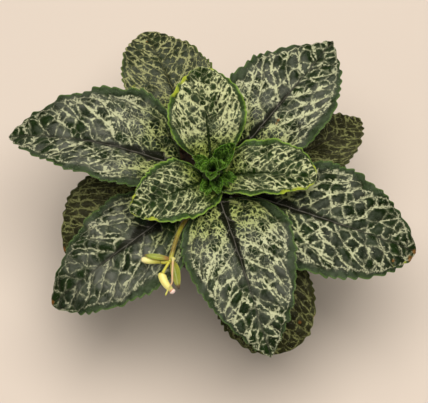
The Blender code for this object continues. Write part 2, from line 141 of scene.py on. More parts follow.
def new_material(name, **surface):
    """A material with one Principled shader, whose plain values are set on its own sockets."""
    made = bpy.data.materials.new(name)
    made.use_nodes = True
    shader = made.node_tree.nodes["Principled BSDF"]
    for socket, value in surface.items():
        shader.inputs[socket.replace("_", " ")].default_value = value
    return made, made.node_tree, shader


def end_finish(tree, shader, skin, height=None, strength=0.0, depth=0.0):
    """Feeds the shader its colour and, from a height between 0 and 1, a fine relief of a depth in metres."""
    feed(tree, shader.inputs["Base Color"], skin)
    if height:
        relief = add(tree, "ShaderNodeBump", {"Height": height, "Strength": strength, "Distance": depth})
        feed(tree, shader.inputs["Normal"], relief)


def object_place(tree):
    """Where a point lies on its object, in metres."""
    return add(tree, "ShaderNodeTexCoord").outputs["Object"]


print("grey 50% is", round(colour("#808080")[0], 3), "in linear light")

# %% [markdown]
# ## Helpers for pieces
#
# Every finished piece is a plain mesh whose object sits at the origin. A piece that comes out of Geometry
# Nodes is evaluated once and kept as a mesh, because instances and live modifiers don't travel well. All of
# the plant is one body, called root, so every piece rides on that.

# %% Pieces
def link(name, mesh, *materials):
    """Links a mesh as an object at the origin."""
    for finish in materials:
        mesh.materials.append(finish)
    made = bpy.data.objects.new(name, mesh)
    bpy.context.scene.collection.objects.link(made)
    return made


def run_nodes(mesh, tree, **values):
    """The mesh that a tree of geometry nodes makes from another mesh. The tree's inputs go by name."""
    source = link(tree.name + "_source", mesh)
    modifier = source.modifiers.new(tree.name, "NODES")
    modifier.node_group = tree
    for item in tree.interface.items_tree:
        if item.item_type == "SOCKET" and item.in_out == "INPUT" and item.name in values:
            modifier[item.identifier] = values[item.name]
    made = plain_mesh(source)
    bpy.data.objects.remove(source)
    return made


def plain_mesh(source):
    """An object's mesh with its modifiers applied; the modifiers are then removed."""
    graph = bpy.context.evaluated_depsgraph_get()
    mesh = bpy.data.meshes.new_from_object(
        source.evaluated_get(graph), preserve_all_data_layers=True, depsgraph=graph
    )
    source.modifiers.clear()
    return mesh


def finish_piece(piece, slot, *nodes, sharp=50.0):
    """Shades a piece smooth up to an angle, ties it to the body and hides the solids it replaces. The slot is
    not used.
    """
    piece.data.shade_smooth()
    piece.data.set_sharp_from_angle(angle=math.radians(sharp))
    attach(piece, "root")
    if nodes:
        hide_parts(*nodes)
    piece.data.calc_loop_triangles()
    print(f"{piece.name}: {len(piece.data.loop_triangles)} triangles")


def new_tree(name, inputs):
    """An empty geometry node tree with named inputs, given as {name: (socket type, value)}."""
    tree = bpy.data.node_groups.new(name, "GeometryNodeTree")
    tree.interface.new_socket("Geometry", in_out="INPUT", socket_type="NodeSocketGeometry")
    tree.interface.new_socket("Geometry", in_out="OUTPUT", socket_type="NodeSocketGeometry")
    for label, (kind, value) in inputs.items():
        socket = tree.interface.new_socket(label, in_out="INPUT", socket_type="NodeSocket" + kind)
        if value is not None:
            socket.default_value = value
    given = add(tree, "NodeGroupInput").outputs
    return tree, given


def end_tree(tree, geometry, finish, hair_finish=None):
    """Ends a tree in Realize Instances and Set Material. Points marked as hair get a finish of their own."""
    solid = add(tree, "GeometryNodeRealizeInstances", {"Geometry": geometry})
    coloured = add(tree, "GeometryNodeSetMaterial", {"Geometry": solid, "Material": finish})
    if hair_finish:
        hair = add(tree, STORED, {"Name": "hair"}, data_type="FLOAT")
        chosen = {"Geometry": coloured, "Selection": hair, "Material": hair_finish}
        coloured = add(tree, "GeometryNodeSetMaterial", chosen)
    add(tree, "NodeGroupOutput", {"Geometry": coloured})
    return tree


print("helpers ready")

# %% [markdown]
# ## The leaf schedule
#
# A leaf is a sheet along a curved midrib. Each row below says where its stalk leaves the stem, how it rises
# and droops, how long and wide its blade is, and how its two halves fold and wave. The rows repeat those of
# the solids, so that each fine leaf lies where its solid does. The last entry names the leaf's look.

# %% Leaf schedule
@dataclass(frozen=True)
class Leaf:
    """One leaf. Lengths are in millimetres and angles in degrees."""

    name: str
    heading: float
    sweep: float
    root_height: float
    rise: float
    tip_pitch: float
    stalk: float
    blade: float
    width: float
    widest: float
    base_power: float
    tip_power: float
    lobe: float
    fold: float
    cup: float
    roll: float
    skew: float
    teeth: int
    tooth: float
    waves: float
    wave: float
    look: str


def leaf(name, heading, sweep, root_height, pitch, size, outline, section, margin, look):
    """A Leaf from its groups of values."""
    return Leaf(name, heading, sweep, root_height, *pitch, *size, *outline, *section, *margin, look)


# name, heading, sweep, root height, (rise, tip pitch), (stalk, blade, width),
# (widest, base power, tip power, lobe), (fold, cup, roll, skew), (teeth, tooth, waves, wave), look
LEAVES = [
    leaf("leaf_01_left", 162, 10, 86, (26, -24), (16, 114, 73), (0.34, 0.93, 0.90, 0),
         (18, 4, 12, -0.14), (14, 1.3, 5, 1.6), "mature"),
    leaf("leaf_02_back_left", 113, -3, 80, (21, -22), (34, 83, 60), (0.42, 0.80, 0.82, 0),
         (8, 2, 10, 0.0), (14, 0.9, 4, 1.0), "laced"),
    leaf("leaf_03_back", 98, 0, 88, (57, 34), (9, 59, 50), (0.54, 0.66, 0.72, 0),
         (26, 5, 1, 0.0), (12, 0.6, 4, 1.2), "young"),
    leaf("leaf_04_back_right", 43, 13, 87, (30, -11), (16, 99, 72), (0.40, 0.85, 1.12, 0),
         (14, 2, -9, 0.0), (14, 1.3, 5, 1.4), "mature"),
    leaf("leaf_05_right_under", 8, 40, 80, (21, -24), (34, 71, 45), (0.38, 0.80, 0.95, 0),
         (8, 2, -1, 0.0), (12, 1.0, 4, 1.2), "old"),
    leaf("leaf_06_right", 331, 19, 85, (24, -28), (24, 107, 73), (0.40, 0.79, 0.74, 0),
         (8, -4, 2, 0.0), (14, 1.3, 5, 1.4), "mature"),
    leaf("leaf_07_right_young", 355, -8, 90, (42, -4), (1, 61, 42), (0.46, 0.50, 0.55, -2),
         (34, 14, -1, 0.0), (11, 0.7, 4, 1.8), "young"),
    leaf("leaf_08_front", 285, 3.5, 88, (26, -28), (12, 105, 68), (0.30, 0.67, 0.95, 0),
         (12, -6, 10, 0.04), (14, 1.1, 5, 1.4), "mature"),
    leaf("leaf_09_front_under", 296, -6, 81, (18, -41), (32, 80, 60.5), (0.52, 0.80, 0.48, 0),
         (6, -2, 8, -0.055), (12, 1.0, 4, 1.2), "old"),
    leaf("leaf_10_front_left", 224, -14.5, 83, (22, -37), (24, 100, 68), (0.31, 0.68, 0.76, 0),
         (8, -8, 7, 0.05), (14, 1.0, 5, 1.4), "mature"),
    leaf("leaf_11_left_under", 198, 8, 79, (15, -36), (34, 65, 66), (0.45, 0.80, 0.85, 0),
         (8, 2, -3, 0.0), (12, 0.9, 4, 1.0), "old"),
    leaf("leaf_12_left_young", 219, -18, 91, (44, -14), (1, 55, 42), (0.38, 0.40, 0.80, 6),
         (20, 0, -3, 0.02), (11, 0.8, 4, 1.4), "young"),
    leaf("leaf_13_heart_left", 152, 4, 95, (66, 40), (1, 14, 10), (0.45, 0.60, 0.80, 0),
         (44, 30, 0, 0.0), (5, 0.3, 2, 0.3), "heart"),
    leaf("leaf_14_heart_right", 36, 4, 95, (70, 48), (1, 23, 15), (0.50, 0.60, 0.80, 0),
         (40, 24, 0, 0.0), (7, 0.4, 2, 0.4), "heart"),
    leaf("leaf_15_heart_front", 308, 0, 95, (56, 14), (1, 12, 6), (0.50, 0.60, 0.80, 0),
         (55, 45, 0, 0.0), (4, 0.2, 2, 0.2), "heart"),
]
print(len(LEAVES), "leaves, the longest blade", max(shape.blade for shape in LEAVES), "mm")

# %% [markdown]
# ## What each look is
#
# Leaves of one plant differ with age. Mature ones are dark, with a silver net between a green rim and a
# dark strip along the midrib. The laced one carries a thin even net. Young ones are fresh green with a fine
# dense net and a yellow-green rim. The ones at the heart hardly have a net, and the old ones underneath are
# dull brown-green. A look holds its colours, the size of the net's cells and the width of its lines.

# %% Leaf looks
@dataclass(frozen=True)
class Look:
    """How a kind of leaf is coloured. Cells, half widths of lines and spikes are in millimetres."""

    deep: str
    green: str
    # grey is a painted sheen: the colour the cells are given where their blisters would catch the light
    grey: str
    # rim is the margin band's own green, greyed in part as a painted sheen
    rim: str
    edge: str
    rib: str
    line: str
    pale: str
    pale_foot: str
    net_cell: float
    fine_cell: float
    river: float
    net: float
    fine: float
    spike: float
    reach: float
    strip: float
    blister: float
    quilt: float
    roughness: float


LOOKS = {
    "mature": Look("#0a1503", "#1e3011", "#676961", "#3d4a33", "#526d32",
                   "#17170f", "#6a675e", "#bcc09b", "#9ca663",
                   8.2, 2.8, 0.25, 0.10, 0.10, 1.0, 0.84, 3.4, 0.8, 2.4, 0.38),
    "laced": Look("#141a08", "#2c3720", "#4a4f44", "#3d4a2b", "#62722f",
                  "#1c2010", "#77764f", "#94966a", "#848e4c",
                  5.6, 2.4, 0.24, 0.15, 0.0, 0.5, 0.93, 2.2, 0.7, 1.5, 0.46),
    "young": Look("#071202", "#1c330a", "#535e4a", "#435a2e", "#86a83e",
                  "#0e1806", "#33451f", "#c6cb9a", "#9cab58",
                  4.4, 2.4, 0.13, 0.09, 0.05, 0.55, 0.84, 0.6, 0.5, 1.1, 0.38),
    "heart": Look("#050d02", "#142c06", "#1f3814", "#1d4010", "#6a9c28",
                  "#081604", "#2f4a1a", "#5f8430", "#55782a",
                  3.0, 1.5, 0.05, 0.04, 0.0, 0.25, 0.8, 0.3, 0.5, 0.9, 0.4),
    "old": Look("#1a1a0c", "#2f3018", "#3f3f30", "#32331a", "#474b24",
                "#1d1c12", "#5c593c", "#73764a", "#606236",
                6.0, 2.4, 0.16, 0.17, 0.0, 0.35, 0.93, 1.0, 0.6, 1.2, 0.5),
}
print(len(LOOKS), "looks:", ", ".join(LOOKS))

# %% [markdown]
# Leaves of one look still differ. A habit says how strong a leaf's silver is, how much of it is crowded
# into a fine net, how much grey sheen is painted on its cells, and how wide its dark strip is, each beside 1.

# %% Leaf habits
# silver, crowding, painted grey sheen, width of the dark strip
USUAL_HABIT = (1.0, 1.0, 0.6, 1.0)
HABITS = {
    "leaf_01_left": (0.76, 0.75, 0.74, 1.1),
    "leaf_02_back_left": (1.0, 1.0, 1.0, 1.0),
    "leaf_04_back_right": (0.88, 0.7, 0.7, 0.7),
    "leaf_06_right": (0.82, 0.1, 0.4, 0.9),
    "leaf_08_front": (0.92, 1.0, 0.62, 1.0),
    "leaf_10_front_left": (0.6, 0.05, 0.82, 1.9),
    "leaf_03_back": (1.16, 1.0, 0.7, 0.8),
    "leaf_07_right_young": (0.77, 1.0, 0.32, 0.8),
    "leaf_12_left_young": (0.66, 1.0, 0.22, 0.8),
}
print("leaves with a habit of their own:", len(HABITS))

# %% [markdown]
# A leaf that has lived has marks. Young rims turn yellow-green in places, and old ones have dry brown spots.
# A mark is given by its share of the blade's length, its share of a half width (left is positive), and its
# radius in millimetres. Yellow shows near the rim only.

# %% Leaf marks
YELLOW_MARKS = {
    "leaf_02_back_left": [(0.42, 0.8, 3.0), (0.40, 0.62, 2.2)],
    "leaf_03_back": [(0.9, 0.9, 4.5), (0.80, 1.0, 4.0), (0.98, 0.3, 3.0), (0.95, -0.7, 2.4)],
    "leaf_06_right": [(0.85, -0.66, 3.2), (0.93, -0.8, 2.2)],
    "leaf_07_right_young": [(0.97, 0.9, 3.2), (0.95, -0.9, 4.5), (0.86, -1.0, 4.5), (0.74, -1.0, 3.5)],
    "leaf_12_left_young": [(0.9, -0.8, 4.0), (0.82, 0.95, 4.5), (0.97, 0.6, 3.2)],
    "leaf_13_heart_left": [(0.9, 0.0, 2.0)],
    "leaf_14_heart_right": [(0.85, -0.4, 2.2)],
    "leaf_15_heart_front": [(0.95, -0.4, 1.8)],
}
BROWN_MARKS = {
    "leaf_02_back_left": [(0.863, 0.2, 0.8)],
    "leaf_04_back_right": [(0.325, -0.22, 1.1), (0.30, -0.24, 0.9)],
    "leaf_06_right": [(0.99, -0.2, 2.0), (0.965, -0.85, 2.2), (0.86, -0.62, 1.1)],
    "leaf_09_front_under": [(0.80, 0.99, 2.0), (0.80, 0.55, 1.2)],
    "leaf_10_front_left": [(0.99, -0.5, 1.8)],
    "leaf_11_left_under": [(0.99, -0.8, 2.2)],
}
print("leaves with marks:", len(YELLOW_MARKS | BROWN_MARKS))

# %% [markdown]
# ## The form of a leaf
#
# The midrib is a line whose pitch and heading change evenly, so it is found by adding up small steps. The
# half width is two arcs that meet at the widest place. Each half is an arc across, from the fold at the
# midrib to the cup at the margin. These are the formulas of the solids. The fine leaf has far more stations,
# rounded teeth that lean forward and differ in size, a sunken midrib, and lamina quilted between the side
# veins. Along with each point come the flat coordinates that the colours read later.

# %% Leaf form
stem_low, stem_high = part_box("stem")
STEM_RADIUS = stem_high.x
BLADE_THICKNESS = 0.9 * MM
RIM_THINNING = 0.45
STALK_THICKNESS = 3.4 * MM
STALK_HALF_WIDTH = 3.1 * MM
TIP_HALF_WIDTH = 0.5 * MM
STALK_CHANNEL = 12.0
ROOT_INSET = 3 * MM
MIDRIB_STEPS = 240
TOOTH_LEAN = 0.7
TOOTH_SKEW = 1.6
FINE_TEETH = 1.2
FINE_TOOTH = 1.05
TOOTH_SIZES = (0.5, 1.5)
TOOTH_JITTER = 0.3
ROW_STEP = 0.65
COLUMN_STEP = 0.95
CELL_SHEAR = 0.22
VEIN_PAIRS = 7.5
VEIN_LEAVING = 0.8
VEIN_ARCHING = 0.9
VEIN_OFFSET = 0.4
LOOP_DEPTH = 0.06
RIB_GROOVE = 0.8 * MM
RIB_GROOVE_WIDTH = 1.3
RIB_ZIGZAG = 0.22
TIP_THINNING = {"mature": 0.32, "laced": 0.15}


def ramp(x):
    """Smooth step from 0 to 1."""
    x = np.clip(x, 0, 1)
    return x * x * (3 - 2 * x)


def half_width(shape, t):
    """Half width of the blade at a share t of its length, without teeth, in metres."""
    before = np.clip((shape.widest - t) / shape.widest, 0, 1)
    after = np.clip((t - shape.widest) / (1 - shape.widest), 0, 1)
    return shape.width * MM / 2 * (1 - before**2) ** shape.base_power * (1 - after**2) ** shape.tip_power


def midrib(shape, share):
    """Points, forward, sideways and upward directions along the midrib, at shares of the whole length."""
    fine = np.linspace(0, 1, MIDRIB_STEPS + 1)
    pitch = np.radians(shape.rise + (shape.tip_pitch - shape.rise) * fine)
    turn = np.radians(shape.heading + shape.sweep * fine)
    forward = np.stack([np.cos(pitch) * np.cos(turn), np.cos(pitch) * np.sin(turn), np.sin(pitch)], 1)
    length = (shape.stalk + shape.blade) * MM + STEM_RADIUS - ROOT_INSET
    steps = (forward[1:] + forward[:-1]) / 2 * length / MIDRIB_STEPS
    start = np.array([ROOT_INSET * np.cos(turn[0]), ROOT_INSET * np.sin(turn[0]), shape.root_height * MM])
    path = start + np.vstack([np.zeros(3), np.cumsum(steps, axis=0)])
    sideways = np.stack([-np.sin(turn), np.cos(turn), np.zeros_like(turn)], 1)
    upward = np.cross(forward, sideways)
    roll = np.radians(shape.roll) * ramp((fine - 0.1) / 0.4)[:, None]
    rolled = sideways * np.cos(roll) + upward * np.sin(roll)
    lifted = upward * np.cos(roll) - sideways * np.sin(roll)

    def at_share(values):
        return np.stack([np.interp(share, fine, values[:, k]) for k in range(3)], 1)

    return [at_share(values) for values in (path, forward, rolled, lifted)]


def tooth_line(shape, t, draw):
    """How far the toothed margin stands over its mean line, in metres. It has more teeth than the solid's."""
    teeth = round(shape.teeth * FINE_TEETH)
    sizes = draw.uniform(*TOOTH_SIZES, teeth + 1)
    place = teeth * t + TOOTH_JITTER * np.sin(math.tau * 3 * t + draw.uniform(0, math.tau))
    size = sizes[np.clip(place.astype(int), 0, teeth)]
    scallop = np.sin(np.pi * (place % 1) ** TOOTH_SKEW)
    fade = ramp(t / 0.1) * ramp((1 - t) / 0.06)
    return shape.tooth * FINE_TOOTH * MM * fade * (size * scallop - 0.5)


def spots(marks, shape, x, y):
    """Soft round marks on the blade, from 0 to 1."""
    total = 0 * x
    for t, u, radius in marks:
        centre_y = u * half_width(shape, t) / MM
        away = np.hypot(x - t * shape.blade, y - centre_y) / radius
        total = np.maximum(total, np.exp(-(away**2)))
    return total


def leaf_sheet(shape, index, t_blade, stalk_shares, across):
    """The sheet's points and directions, its thickness, and flat fields for the colours, all on a grid.

    across runs from -1 at the right margin to 1 at the left one. Stations are the stalk's, then the blade's.
    """
    look = LOOKS[shape.look]
    inner = (STEM_RADIUS - ROOT_INSET) / MM
    whole = inner + shape.stalk + shape.blade
    foot = (inner + shape.stalk) / whole
    share = np.concatenate([stalk_shares * foot, foot + (1 - foot) * t_blade])
    t = np.concatenate([np.zeros_like(stalk_shares), t_blade])
    # the midrib, the margins and the section across
    path, forward, sideways, upward = midrib(shape, share)
    stalk_half = STALK_HALF_WIDTH + (TIP_HALF_WIDTH - STALK_HALF_WIDTH) * share
    stalk_half = np.minimum(stalk_half, shape.width * MM / 4)
    blade_half = half_width(shape, t) * (t > 0)
    draw = np.random.default_rng(100 + index)
    phases = draw.uniform(0, math.tau, 2)
    side = np.where(across >= 0, 1.0, -1.0)[None, :]
    u = np.abs(across)[None, :]
    left_teeth = tooth_line(shape, t, draw)[:, None]
    right_teeth = tooth_line(shape, t, draw)[:, None]
    tooth = np.where(side > 0, left_teeth, right_teeth)
    half = np.hypot(stalk_half, blade_half)[:, None] + tooth
    lobe = abs(shape.lobe) * MM * (1 - ramp(t / 0.4)) * np.minimum(1, blade_half / (shape.width * MM / 4))
    opened = ramp(t / 0.2)
    fold = np.radians(STALK_CHANNEL + (shape.fold - STALK_CHANNEL) * opened)
    bend = np.radians(STALK_CHANNEL + (shape.cup - STALK_CHANNEL) * opened) - fold
    bend = np.where(np.abs(bend) < 1e-3, 1e-3, bend)
    t, share, opened = t[:, None], share[:, None], opened[:, None]
    fold, bend, stalk_half, lobe = fold[:, None], bend[:, None], stalk_half[:, None], lobe[:, None]
    rib = BLADE_THICKNESS + (STALK_THICKNESS - BLADE_THICKNESS) * (1 - share) ** 1.4
    rib = np.minimum(rib, BLADE_THICKNESS + shape.width * MM / 16)
    slope = fold + bend * u
    reach = half * (1 + side * shape.skew * opened)
    out = reach / bend * (np.sin(slope) - np.sin(fold))
    lift = reach / bend * (np.cos(fold) - np.cos(slope))
    phase = np.where(side > 0, phases[0], phases[1])
    ripple = shape.wave * MM * u**3 * np.sin(math.tau * shape.waves * t + phase) * np.sin(math.pi * t)
    shift = TOOTH_LEAN * tooth * u**8 - lobe * u**2 * (side * shape.lobe > 0)
    keel = np.clip(1 - (u * reach / (1.25 * stalk_half)) ** 2, 0, 1)
    thickness = (BLADE_THICKNESS + (rib - BLADE_THICKNESS) * keel) * (1 - RIM_THINNING * u**10)

    # flat coordinates in millimetres, and the side veins, which lie where their count is whole
    x = (share - foot) * whole + 0 * u
    y = side * u * reach / MM
    reached = np.abs(y) / (shape.width / 2)
    spacing = shape.blade / VEIN_PAIRS
    arched = shape.width / 2 * (VEIN_LEAVING * reached + VEIN_ARCHING * reached**3)
    wobble = 0.10 * np.sin(x / 4.7 + 1.7 * index + y / 6.1) + 0.07 * np.sin(y / 3.1 - x / 7.3 + index)
    vein = (x - arched) / spacing + VEIN_OFFSET * (side < 0) + wobble * ramp(np.abs(y) / 8)
    gap = spacing / np.sqrt(1 + (VEIN_LEAVING + 3 * VEIN_ARCHING * reached**2) ** 2)
    inside = ramp(t / 0.08) * ramp((1 - t) / 0.1) * ramp(np.abs(y) / 5) * (1 - 0.7 * ramp((u - 0.7) / 0.25))
    quilt = (np.abs(np.sin(math.pi * vein)) ** 0.7 - 0.5) * look.quilt * MM * inside
    fading = 1 - ramp((t - 0.35) / 0.35)
    from_rib = np.abs(y - RIB_ZIGZAG * np.sin(math.tau * x / spacing + index) * ramp(t / 0.15))
    groove = RIB_GROOVE * (0.25 + 0.75 * fading) * np.exp(-((from_rib / RIB_GROOVE_WIDTH) ** 2))
    groove = groove * ramp((t + 0.12) / 0.2)
    groove = np.minimum(groove, 0.4 * thickness)
    lift = lift + ripple + quilt - groove
    points = (
        path[:, None]
        + sideways[:, None] * (side * out)[:, :, None]
        + upward[:, None] * lift[:, :, None]
        + forward[:, None] * shift[:, :, None]
    )

    # how strong each part of the pattern is, from 0 to about 1
    silver, crowd, grey, strip = HABITS.get(shape.name, USUAL_HABIT)
    axil = 1 - vein % 1
    strip = look.strip * strip * (1 - ramp(t / 0.62)) * (0.4 + 0.9 * axil) + 0.7 * fading - 0.4
    clear_of_rib = ramp((from_rib - strip) / min(1.4, 0.3 + 0.4 * look.strip))
    ends = look.reach + 0.05 * ramp((t - 0.6) / 0.4) + 0.04 * np.sin(x / 5.3 + index) * (side + 2) / 2
    looped = ends + LOOP_DEPTH * np.abs(np.sin(math.pi * vein)) - LOOP_DEPTH
    clear_of_rim = 1 - ramp((u - looped - 0.01) / 0.05)
    lane = 0.8 + 0.35 * np.sin(math.pi * np.clip(u / 0.9, 0, 1))
    thinned = 1.08 - TIP_THINNING.get(shape.look, 0.0) * ramp((t - 0.45) / 0.5)
    net = clear_of_rib * clear_of_rim * ramp(t / 0.05) * lane * thinned * silver
    loop_net = clear_of_rib * (1 - ramp((u - looped - 0.07) / 0.04)) * ramp((t - 0.08) / 0.1) * silver
    crowded = (1 - ramp((t - 0.15) / 0.5)) * (1 - ramp((u - 0.6) / 0.3)) * crowd
    # painted sheen: where the grey that stands for the leaf's gloss is laid, mid-blade and less towards the
    # rim
    painted_sheen_zone = ramp((t - 0.12) / 0.2) * (1 - ramp((t - 0.6) / 0.4)) * (1 - 0.6 * ramp((u - 0.75) / 0.4)) * grey
    foot_tone = 1 - ramp((t - 0.12) / 0.28) + 0 * u
    yellowed = spots(YELLOW_MARKS.get(shape.name, []), shape, x, y) * (0.3 + 0.7 * ramp((u - 0.72) / 0.2))
    fields = {
        "blade_map": (x + 173.0 * index, y, spots(BROWN_MARKS.get(shape.name, []), shape, x, y)),
        "cell_map": (x - CELL_SHEAR * arched + 173.0 * index, y, (u - looped) * reach / MM),
        "veins": (vein, gap + 0 * vein, from_rib),
        "zones": (net, net * crowded, foot_tone),
        "marks": (ramp((u - ends) / 0.1) + 0 * t, 1 - clear_of_rib, painted_sheen_zone),
        "margin": (ramp((u - 0.972) / 0.02) * ramp(t / 0.04) + 0 * u, yellowed, t + 0 * u),
        "loops": (loop_net, 0 * x, 0 * x),
        "lift_way": tuple((upward[:, k : k + 1] * inside) for k in range(3)),
    }
    return points, upward, thickness, fields


print("midrib of the first leaf ends at", (midrib(LEAVES[0], np.array([1.0]))[0][0] / MM).round(1), "mm")

# %% [markdown]
# ## From sheet to closed leaf
#
# A leaf has an upper and a lower skin, so the sheet becomes two grids joined round their rim. The fields are
# stored as named attributes on the points, where geometry nodes and materials can both read them by name.

# %% Leaf mesh
def slab(name, points, upward, thickness, fields):
    """A closed mesh from a grid of points, with the fields stored as attributes on both skins."""
    rows, columns = points.shape[:2]
    count = rows * columns
    offset = upward[:, None, :] * BLADE_THICKNESS / 2
    upper = (points + offset).reshape(-1, 3)
    lower = (points + offset - upward[:, None, :] * thickness[:, :, None]).reshape(-1, 3)
    grid = np.arange(count).reshape(rows, columns)
    a, b, c, d = (part.ravel() for part in (grid[:-1, :-1], grid[:-1, 1:], grid[1:, :-1], grid[1:, 1:]))
    top = np.stack([a, c, d, b], 1)
    loop = np.concatenate([grid[:, 0], grid[-1, 1:], grid[-2::-1, -1], grid[0, -2:0:-1]])
    after = np.roll(loop, -1)
    rim = np.stack([after, loop, loop + count, after + count], 1)
    faces = np.vstack([top, top[:, ::-1] + count, rim])
    mesh = bpy.data.meshes.new(name)
    mesh.from_pydata(np.vstack([upper, lower]).tolist(), [], faces.tolist())
    for label, values in fields.items():
        flat = np.stack([np.broadcast_to(v, (rows, columns)).ravel() for v in values], 1)
        held = mesh.attributes.new(label, "FLOAT_VECTOR", "POINT")
        held.data.foreach_set("vector", np.vstack([flat, flat]).astype(np.float32).ravel())
    under = mesh.attributes.new("underside", "FLOAT", "POINT")
    under.data.foreach_set("value", np.repeat([0.0, 1.0], count).astype(np.float32))
    return mesh


print("a blade's two skins lie", round(BLADE_THICKNESS / MM, 1), "mm apart")

# %% [markdown]
# ## The net of veins
#
# Between the side veins a primulina leaf is a mosaic of small blisters, and the silver follows the seams
# between them. Voronoi cells are such a mosaic. Their edges are straight, so the place that they are read at
# is first jagged by a noise. The same nodes work in a geometry tree, where they raise the blisters, and in a
# shader, where they draw the silver, so the two always agree.

# %% Vein net
JAG_SIZE = 2.6
RIM_HAIRS = 9.0
HAIR_LENGTH = 0.75 * MM
HAIR_GROWTH = (0.5, 1.2)
HAIR_LEAN = 0.7
HAIRS = {
    "Hairs_Per_Square_Metre": ("Float", 220000.0),
    "Hair_Length": ("Float", HAIR_LENGTH),
    "Hair_Radius": ("Float", 0.028 * MM),
    "Seed": ("Int", 1),
    "Hair_Finish": ("Material", None),
}


def vein_net(tree, place, cell, jag):
    """Millimetres to the nearest seam of a mosaic, the node of its cells, and the place it is read at."""
    jagging = {"Vector": place, "Scale": 1 / JAG_SIZE, "Detail": 3.0, "Roughness": 0.65}
    noise = add(tree, NOISE, jagging, noise_dimensions="2D")
    centred = add(tree, VECTOR, {0: noise.outputs["Color"], 1: (0.5, 0.5, 0.5)}, operation="SUBTRACT")
    moved = add(tree, VECTOR, {0: centred, 1: (jag, jag, 0), 2: place}, operation="MULTIPLY_ADD")
    seams, cells = (
        add(tree, CELLS, {"Vector": moved, "Scale": 1 / cell}, voronoi_dimensions="2D", feature=feature)
        for feature in ("DISTANCE_TO_EDGE", "F1")
    )
    return add(tree, MATH, {0: seams, 1: cell}, operation="MULTIPLY"), cells, moved


def with_hairs(tree, skin, given, edge=None):
    """The skin with short tapered hairs on it, which stand thicker where the edge value is 1."""
    density = given["Hairs_Per_Square_Metre"]
    if edge:
        more = add(tree, MATH, {0: edge, 1: RIM_HAIRS, 2: 1.0}, operation="MULTIPLY_ADD")
        density = add(tree, MATH, {0: density, 1: more}, operation="MULTIPLY")
    points = add(
        tree, "GeometryNodeDistributePointsOnFaces", {"Mesh": skin, "Density": density, "Seed": given["Seed"]}
    )
    hair = add(
        tree,
        "GeometryNodeMeshCone",
        {"Vertices": 3, "Radius Bottom": given["Hair_Radius"], "Depth": given["Hair_Length"]},
    )
    grown = add(tree, RANDOM, {2: HAIR_GROWTH[0], 3: HAIR_GROWTH[1], "Seed": given["Seed"]}).outputs[1]
    hairs = add(
        tree,
        "GeometryNodeInstanceOnPoints",
        {"Points": points, "Instance": hair, "Rotation": points.outputs["Rotation"], "Scale": grown},
    )
    lean = add(
        tree,
        RANDOM,
        {0: (-HAIR_LEAN, -HAIR_LEAN, 0.0), 1: (HAIR_LEAN, HAIR_LEAN, 0.0), "Seed": given["Seed"]},
        data_type="FLOAT_VECTOR",
    )
    leaning = add(tree, "GeometryNodeRotateInstances", {"Instances": hairs, "Rotation": lean})
    marked = add(
        tree,
        "GeometryNodeStoreNamedAttribute",
        {"Geometry": leaning, "Name": "hair", "Value": 1.0},
        data_type="FLOAT",
        domain="INSTANCE",
    )
    joined = add(tree, "GeometryNodeJoinGeometry", {"Geometry": skin})
    feed(tree, joined.inputs["Geometry"], marked)
    return joined


def blister_tree(look_name):
    """Raises the cells of the net into low blisters along each point's own way, then grows the hairs."""
    look = LOOKS[look_name]
    inputs = {"Height": ("Float", look.blister * MM), "Finish": ("Material", None), **HAIRS}
    tree, given = new_tree("blistered_" + look_name, inputs)
    place, way, edge = (
        add(tree, STORED, {"Name": label}, data_type="FLOAT_VECTOR")
        for label in ("cell_map", "lift_way", "margin")
    )
    apart, _, _ = vein_net(tree, place, look.net_cell, JAG_SIZE)
    dome = add(
        tree,
        RANGE,
        {"Value": apart, "From Max": look.net_cell * 0.4, "To Min": -0.5, "To Max": 0.5},
        interpolation_type="SMOOTHSTEP",
    )
    raised = add(tree, MATH, {0: dome, 1: given["Height"]}, operation="MULTIPLY")
    offset = add(tree, VECTOR, {0: way, "Scale": raised}, operation="SCALE")
    moved = add(tree, "GeometryNodeSetPosition", {"Geometry": given["Geometry"], "Offset": offset})
    edge = add(tree, SPLIT, {0: edge})
    return end_tree(tree, with_hairs(tree, moved, given, edge), given["Finish"], given["Hair_Finish"])


blister_trees = {name: blister_tree(name) for name in LOOKS}
print("blister trees:", len(blister_trees))

# %% [markdown]
# ## The skin of a leaf
#
# A primulina leaf is a fleshy blade with a velvet of very short hairs: a soft gloss over a matt ground. The
# silver is air under the skin along the veins, and it spreads from them in short spikes, like frost. It is
# drawn in four nets: the side veins, the loops that join them, a mosaic of cells of 3 to 8 mm, and a fine
# mosaic that crowds round the foot. A line is where the distance to a seam is less than a width. The width
# swells and breaks with slow noises, and gets its spikes from a noise that runs only along the seam. A thin
# frost lies beside the lines.

# %% Leaf values
SPIKE_STEP = 0.95
SPIKES_FROM, SPIKES_TO = 0.47, 0.70
FIELD_NAMES = ("veins", "zones", "marks", "margin", "loops")
# name: size in millimetres, detail, which output is read
LEAF_NOISES = {
    "patches": (9.0, 2.0, 0),
    "jag": (1.7, 2.0, 0),
    "bend": (7.0, 3.0, 0),
    "gaps": (5.5, 2.0, 1),
    "mottle": (3.5, 4.0, 0),
    "cloud": (14.0, 3.0, 0),
    "grain": (0.5, 2.0, 0),
}
# name: the noise it stretches, from low and high, to low and high
LEAF_RANGES = {
    "swell": ("patches", 0.32, 0.68, 0.22, 1.9),
    "ragged": ("jag", 0.36, 0.64, 0.4, 1.6),
    "broken": ("gaps", 0.38, 0.56, 0.25, 1.1),
    "mottled": ("mottle", 0.35, 0.65, 0.0, 1.0),
    "clouded": ("cloud", 0.4, 0.6, 0.05, 1.0),
    "patchy": ("mottle", 0.35, 0.6, 0.45, 1.0),
    "faint": ("patches", 0.5, 0.34, 0.0, 0.45),
}


def spikes_along(tree, place, dimensions="2D"):
    """Peaks from 0 to 1, about one to each unit of the place that is given."""
    noise = add(tree, NOISE, {"Vector": place, "Scale": 1.0, "Detail": 1.0}, noise_dimensions=dimensions)
    return add(tree, RANGE, {"Value": noise, "From Min": SPIKES_FROM, "From Max": SPIKES_TO})


